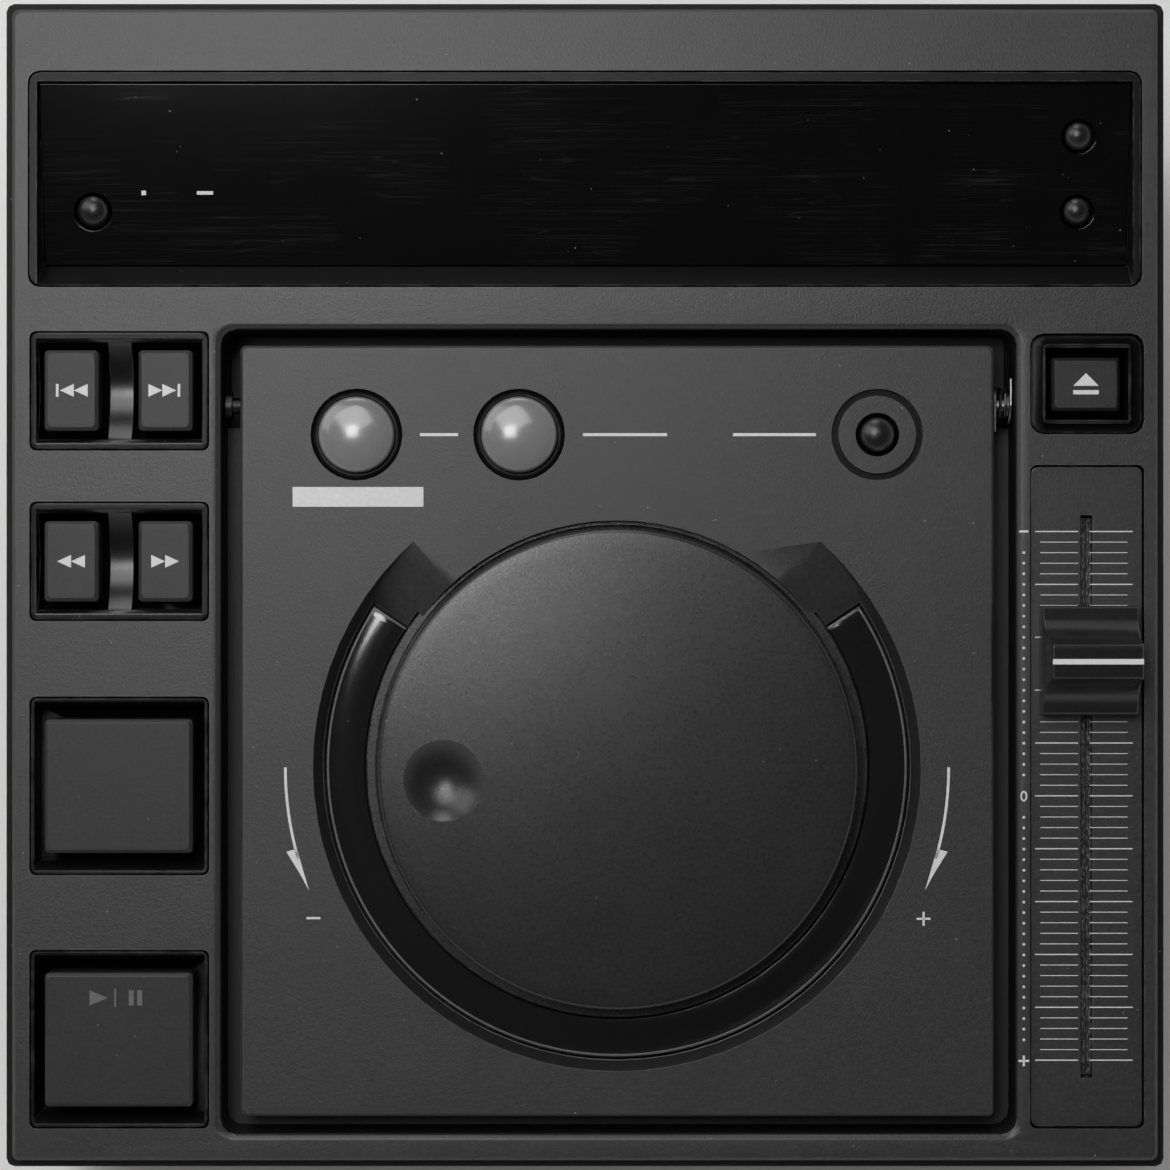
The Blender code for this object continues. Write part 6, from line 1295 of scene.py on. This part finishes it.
@dataclass
class JogDial:
    """Jog dial, hollow underneath, with a slightly domed face and a finger dimple, and its shaft."""

    middle_x: float = 0.006
    middle_v: float = -0.0342
    radius: float = 0.0446
    foot_radius: float = 0.0453
    skirt_radius: float = 0.0472
    skirt_top: float = -0.0029
    skirt_bottom: float = -0.0042
    top: float = 0.009
    dome: float = 0.0010
    dome_rings: int = 16
    edge: float = 0.0009
    wall: float = 0.002
    cap: float = 0.0024
    boss_radius: float = 0.007
    boss_bottom: float = 0.001
    bore_radius: float = 0.0033
    bore_top: float = 0.0060
    dimple_x: float = -0.0325
    dimple_v: float = -0.0020
    dimple_radius: float = 0.0076
    dimple_depth: float = 0.0026
    dimple_backing: float = 0.002
    dimple_rings: int = 14
    steps: int = 180

    def build(self) -> None:
        """Make the dial and dress its shaft."""
        floor = self.top - self.cap
        dial = turned(self.face() + self.side() + self.inside(), self.steps)
        ball = (self.dimple_radius ** 2 + self.dimple_depth ** 2) / (2 * self.dimple_depth)
        level = self.height_at(math.hypot(self.dimple_x, self.dimple_v)) - self.dimple_depth
        spot = Matrix.Translation((self.dimple_x, self.dimple_v, 0))
        backing = turned([(0.0, floor - self.dimple_backing),
                          (self.dimple_radius + self.dimple_backing, floor - self.dimple_backing),
                          (self.dimple_radius + self.dimple_backing, floor + 0.0004), (0.0, floor + 0.0004)], 64)
        dial = carved(dial, placed(backing, spot), "UNION")
        rings = self.dimple_rings
        hollow = [(ball * math.sin(turn), level + ball * (1 - math.cos(turn)))
                  for turn in [math.radians(52.0) * ring / rings for ring in range(rings + 1)]]
        dial = carved(dial, placed(turned([*hollow, (0.0, hollow[-1][1])], 96), spot), "DIFFERENCE")
        placed(dial, PANEL.matrix(self.middle_x, self.middle_v))
        add_piece("jog_dial_fine", dial, DIAL_SATIN, "jog", ("jog_dial",), 26.0)
        fine_copy("jog_shaft", STEEL, 0.0001)

    def height_at(self, radius: float) -> float:
        """Height of the domed face at a radius."""
        return self.top - self.dome * (radius / self.radius) ** 2

    def face(self) -> list[tuple[float, float]]:
        """Points of the domed face, from the axis out."""
        reach = self.radius - self.edge
        return [(reach * ring / self.dome_rings, self.height_at(reach * ring / self.dome_rings))
                for ring in range(self.dome_rings + 1)]

    def side(self) -> list[tuple[float, float]]:
        """Points of the rounded edge, the side and the skirt, from the top down."""
        level = self.height_at(self.radius - self.edge) - self.edge
        rounding = arc((self.radius - self.edge, level), self.edge, 78, 0, 5)
        return [*rounding, (self.foot_radius, self.skirt_top + 0.0003), (self.foot_radius + 0.0003, self.skirt_top),
                (self.skirt_radius - 0.0002, self.skirt_top), (self.skirt_radius, self.skirt_top - 0.0002),
                (self.skirt_radius, self.skirt_bottom)]

    def inside(self) -> list[tuple[float, float]]:
        """Points of the hollow underside, from the skirt to the boss on the axis."""
        floor = self.top - self.cap
        return [(self.foot_radius - self.wall, self.skirt_bottom), (self.radius - self.wall, floor),
                (self.boss_radius, floor), (self.boss_radius, self.boss_bottom), (self.bore_radius, self.boss_bottom),
                (self.bore_radius, self.bore_top), (0.0, self.bore_top)]


@dataclass
class DiscWorks:
    """Clamper, chamber, turntable, motors, sled, screw and latch under the lid."""

    middle_x: float = 0.006
    middle_v: float = -0.0342
    table_top: float = -0.0226
    pad_inner: float = 0.0092
    pad_outer: float = 0.0141
    pad_rise: float = 0.0003
    lens_rest: float = 0.023
    lens_radius: float = 0.0034
    lens_level: float = -0.0279

    def build(self) -> None:
        """Dress the disc works."""
        finishes = {"disc_chamber": MOULDING, "disc_clamper": NYLON, "turntable": MOULDING, "spindle_motor": ZINC,
                    "lead_screw": STEEL, "sled_guide_rod": STEEL, "sled_motor": ZINC, "latch_crank": ZINC,
                    "latch_slider": ZINC}
        for node, finish in finishes.items():
            fine_copy(node, finish, 0.00012)
        sled = fine_copy("laser_sled", MOULDING, 0.00012)
        paint(sled, LENS, self.in_lens)
        self.pad()

    def in_lens(self, place: Vector, normal: Vector) -> bool:
        """Whether a face of the sled belongs to the lens's dome."""
        span = math.hypot(place.x - self.middle_x + self.lens_rest, place.y - self.middle_v)
        return span < self.lens_radius and place.z > self.lens_level and normal.z > 0.1

    def pad(self) -> None:
        """Ribbed rubber ring on the turntable, which the disc lies on."""
        top = self.table_top + self.pad_rise
        profile = [(self.pad_inner, self.table_top - 0.0004), (self.pad_inner, top)]
        ribs = 6
        for rib in range(ribs):
            start = self.pad_inner + (self.pad_outer - self.pad_inner) * (rib + 0.3) / ribs
            width = (self.pad_outer - self.pad_inner) * 0.4 / ribs
            profile += [(start, top), (start + width * 0.3, top - 0.0002), (start + width, top - 0.0002),
                        (start + width * 1.3, top)]
        profile += [(self.pad_outer, top), (self.pad_outer, self.table_top - 0.0004), profile[0]]
        add_piece("turntable_pad", placed(turned(profile, 96), PANEL.matrix(self.middle_x, self.middle_v)), RUBBER,
                  "turntable")


@dataclass
class Electrics:
    """Boards, transformer and the rear panel with its sockets, switch and screws."""

    jack_x: float = 0.034
    jack_spacing: float = 0.015
    jack_z: float = 0.0545
    jack_end: float = 0.111684
    ring_inner: float = 0.0014
    ring_outer: float = 0.0033
    mouth_depth: float = 0.0010
    ring_drop: float = 0.0004
    barrel_start: float = 0.1035
    screw_x: float = 0.072
    screw_low: float = 0.0365
    screw_high: float = 0.0725
    panel_face: float = 0.10288
    head_radius: float = 0.0026
    head_rise: float = 0.0013
    slot_width: float = 0.0006
    slot_length: float = 0.0030
    slot_depth: float = 0.0007
    mark_size: float = 0.0026
    mark_line: float = 0.0005

    def build(self) -> None:
        """Dress the electrics."""
        for node, finish in {"main_board": BOARD_GREEN, "rear_panel": CASE_BLACK, "power_inlet": MOULDING}.items():
            fine_copy(node, finish, 0.00015)
        paint(fine_copy("transformer", LAMINATION, 0.00015), COPPER, lambda place, normal: abs(normal.x) > 0.8)
        self.jacks()
        self.rocker()
        self.screws()

    def at_rear(self, x: float, y: float, z: float) -> Matrix:
        """Matrix that turns a shape's z axis to the rear and puts it at a place.

        Args:
            x: Place to the right.
            y: Place to the rear.
            z: Height.

        Returns:
            The matrix.
        """
        return Matrix.Translation((x, y, z)) @ Matrix.Rotation(math.radians(-90), 4, "X")

    def jacks(self) -> None:
        """Output sockets with bright barrels and coloured rings in their mouths."""
        shape = merged_shape("output_jacks")
        places = [self.jack_x + step * self.jack_spacing for step in (-1, 0, 1)]
        for x in places:
            mouth = turned([(0.0, -self.mouth_depth), (self.ring_outer, -self.mouth_depth),
                            (self.ring_outer, self.mouth_depth), (0.0, self.mouth_depth)], 48)
            shape = carved(shape, placed(mouth, self.at_rear(x, self.jack_end, self.jack_z)), "DIFFERENCE")
        piece = add_piece("output_jacks_fine", shape, MOULDING, "case", ("output_jacks",))
        piece.data.materials.append(ZINC.material())
        for face in piece.data.polygons:
            span = min(math.hypot(face.center.x - x, face.center.z - self.jack_z) for x in places)
            if face.center.y > self.barrel_start and self.ring_outer - 0.0001 < span < 2 * self.ring_outer:
                face.material_index = 1
        for x, finish in zip(places, (NYLON, RUBBER_RED, MOULDING)):
            ring = turned([(self.ring_inner, -self.mouth_depth - 0.0003), (self.ring_inner, -self.ring_drop),
                           (self.ring_outer - 0.0001, -self.ring_drop),
                           (self.ring_outer - 0.0001, -self.mouth_depth - 0.0003),
                           (self.ring_inner, -self.mouth_depth - 0.0003)], 48)
            ring = placed(ring, self.at_rear(x, self.jack_end, self.jack_z))
            add_piece(f"jack_ring_{places.index(x) + 1}", ring, finish, "case")

    def rocker(self) -> None:
        """Mains rocker with a bar on one half and a ring on the other."""
        fine_copy("power_rocker", BUTTON_DARK, 0.0003, 3)
        shape = merged_shape("power_rocker")
        halves = [face for face in shape.faces if face.normal.y > 0.6]
        halves.sort(key=lambda face: face.calc_area())
        spots = [(face.calc_center_median(), face.normal.copy()) for face in halves[-2:]]
        spots.sort(key=lambda spot: spot[0].z)
        shape.free()
        for name, (centre, normal) in zip(("ring", "bar"), spots):
            marks = Marks(0.0)
            if name == "bar":
                marks.bar(0, 0, self.mark_line, self.mark_size)
            else:
                marks.nought(0, 0, self.mark_size, self.mark_size, self.mark_line)
            across = Vector((0, 0, 1)).cross(normal).normalized()
            up = normal.cross(across)
            turn = Matrix((across, up, normal)).transposed().to_4x4()
            marks.piece("rocker_" + name, PRINT_PALE, body_of("power_rocker"), Matrix.Translation(centre) @ turn)

    def screws(self) -> None:
        """Four cross-headed screws at the rear panel's corners."""
        number = 0
        for x in (-self.screw_x, self.screw_x):
            for z in (self.screw_low, self.screw_high):
                number += 1
                rim = 0.0004
                head = turned([(0.0, -0.0006), (self.head_radius, -0.0006), (self.head_radius, rim),
                               *arc((self.head_radius - 0.0009, rim), 0.0009, 0, 90, 4), (0.0, self.head_rise)], 40)
                for turn in (20.0, 110.0):
                    slot = placed(box(self.slot_length, self.slot_width, self.head_rise - self.slot_depth,
                                      self.head_rise + 0.001), Matrix.Rotation(math.radians(turn), 4, "Z"))
                    head = carved(head, slot, "DIFFERENCE")
                head = placed(head, self.at_rear(x, self.panel_face, z))
                add_piece(f"rear_screw_{number}", head, STEEL_DARK_AND_SHADE, "case")


def main() -> None:
    """Build the studio and the sub-assemblies in order."""
    logging.basicConfig(level=logging.INFO, format="%(message)s")
    Studio().build()
    for part in (Casing(), Display(), Keys(), Fader(), Lid(), JogDial(), DiscWorks(), Electrics()):
        log.info("Building %s", type(part).__name__)
        part.build()


if __name__ == "__main__":
    main()
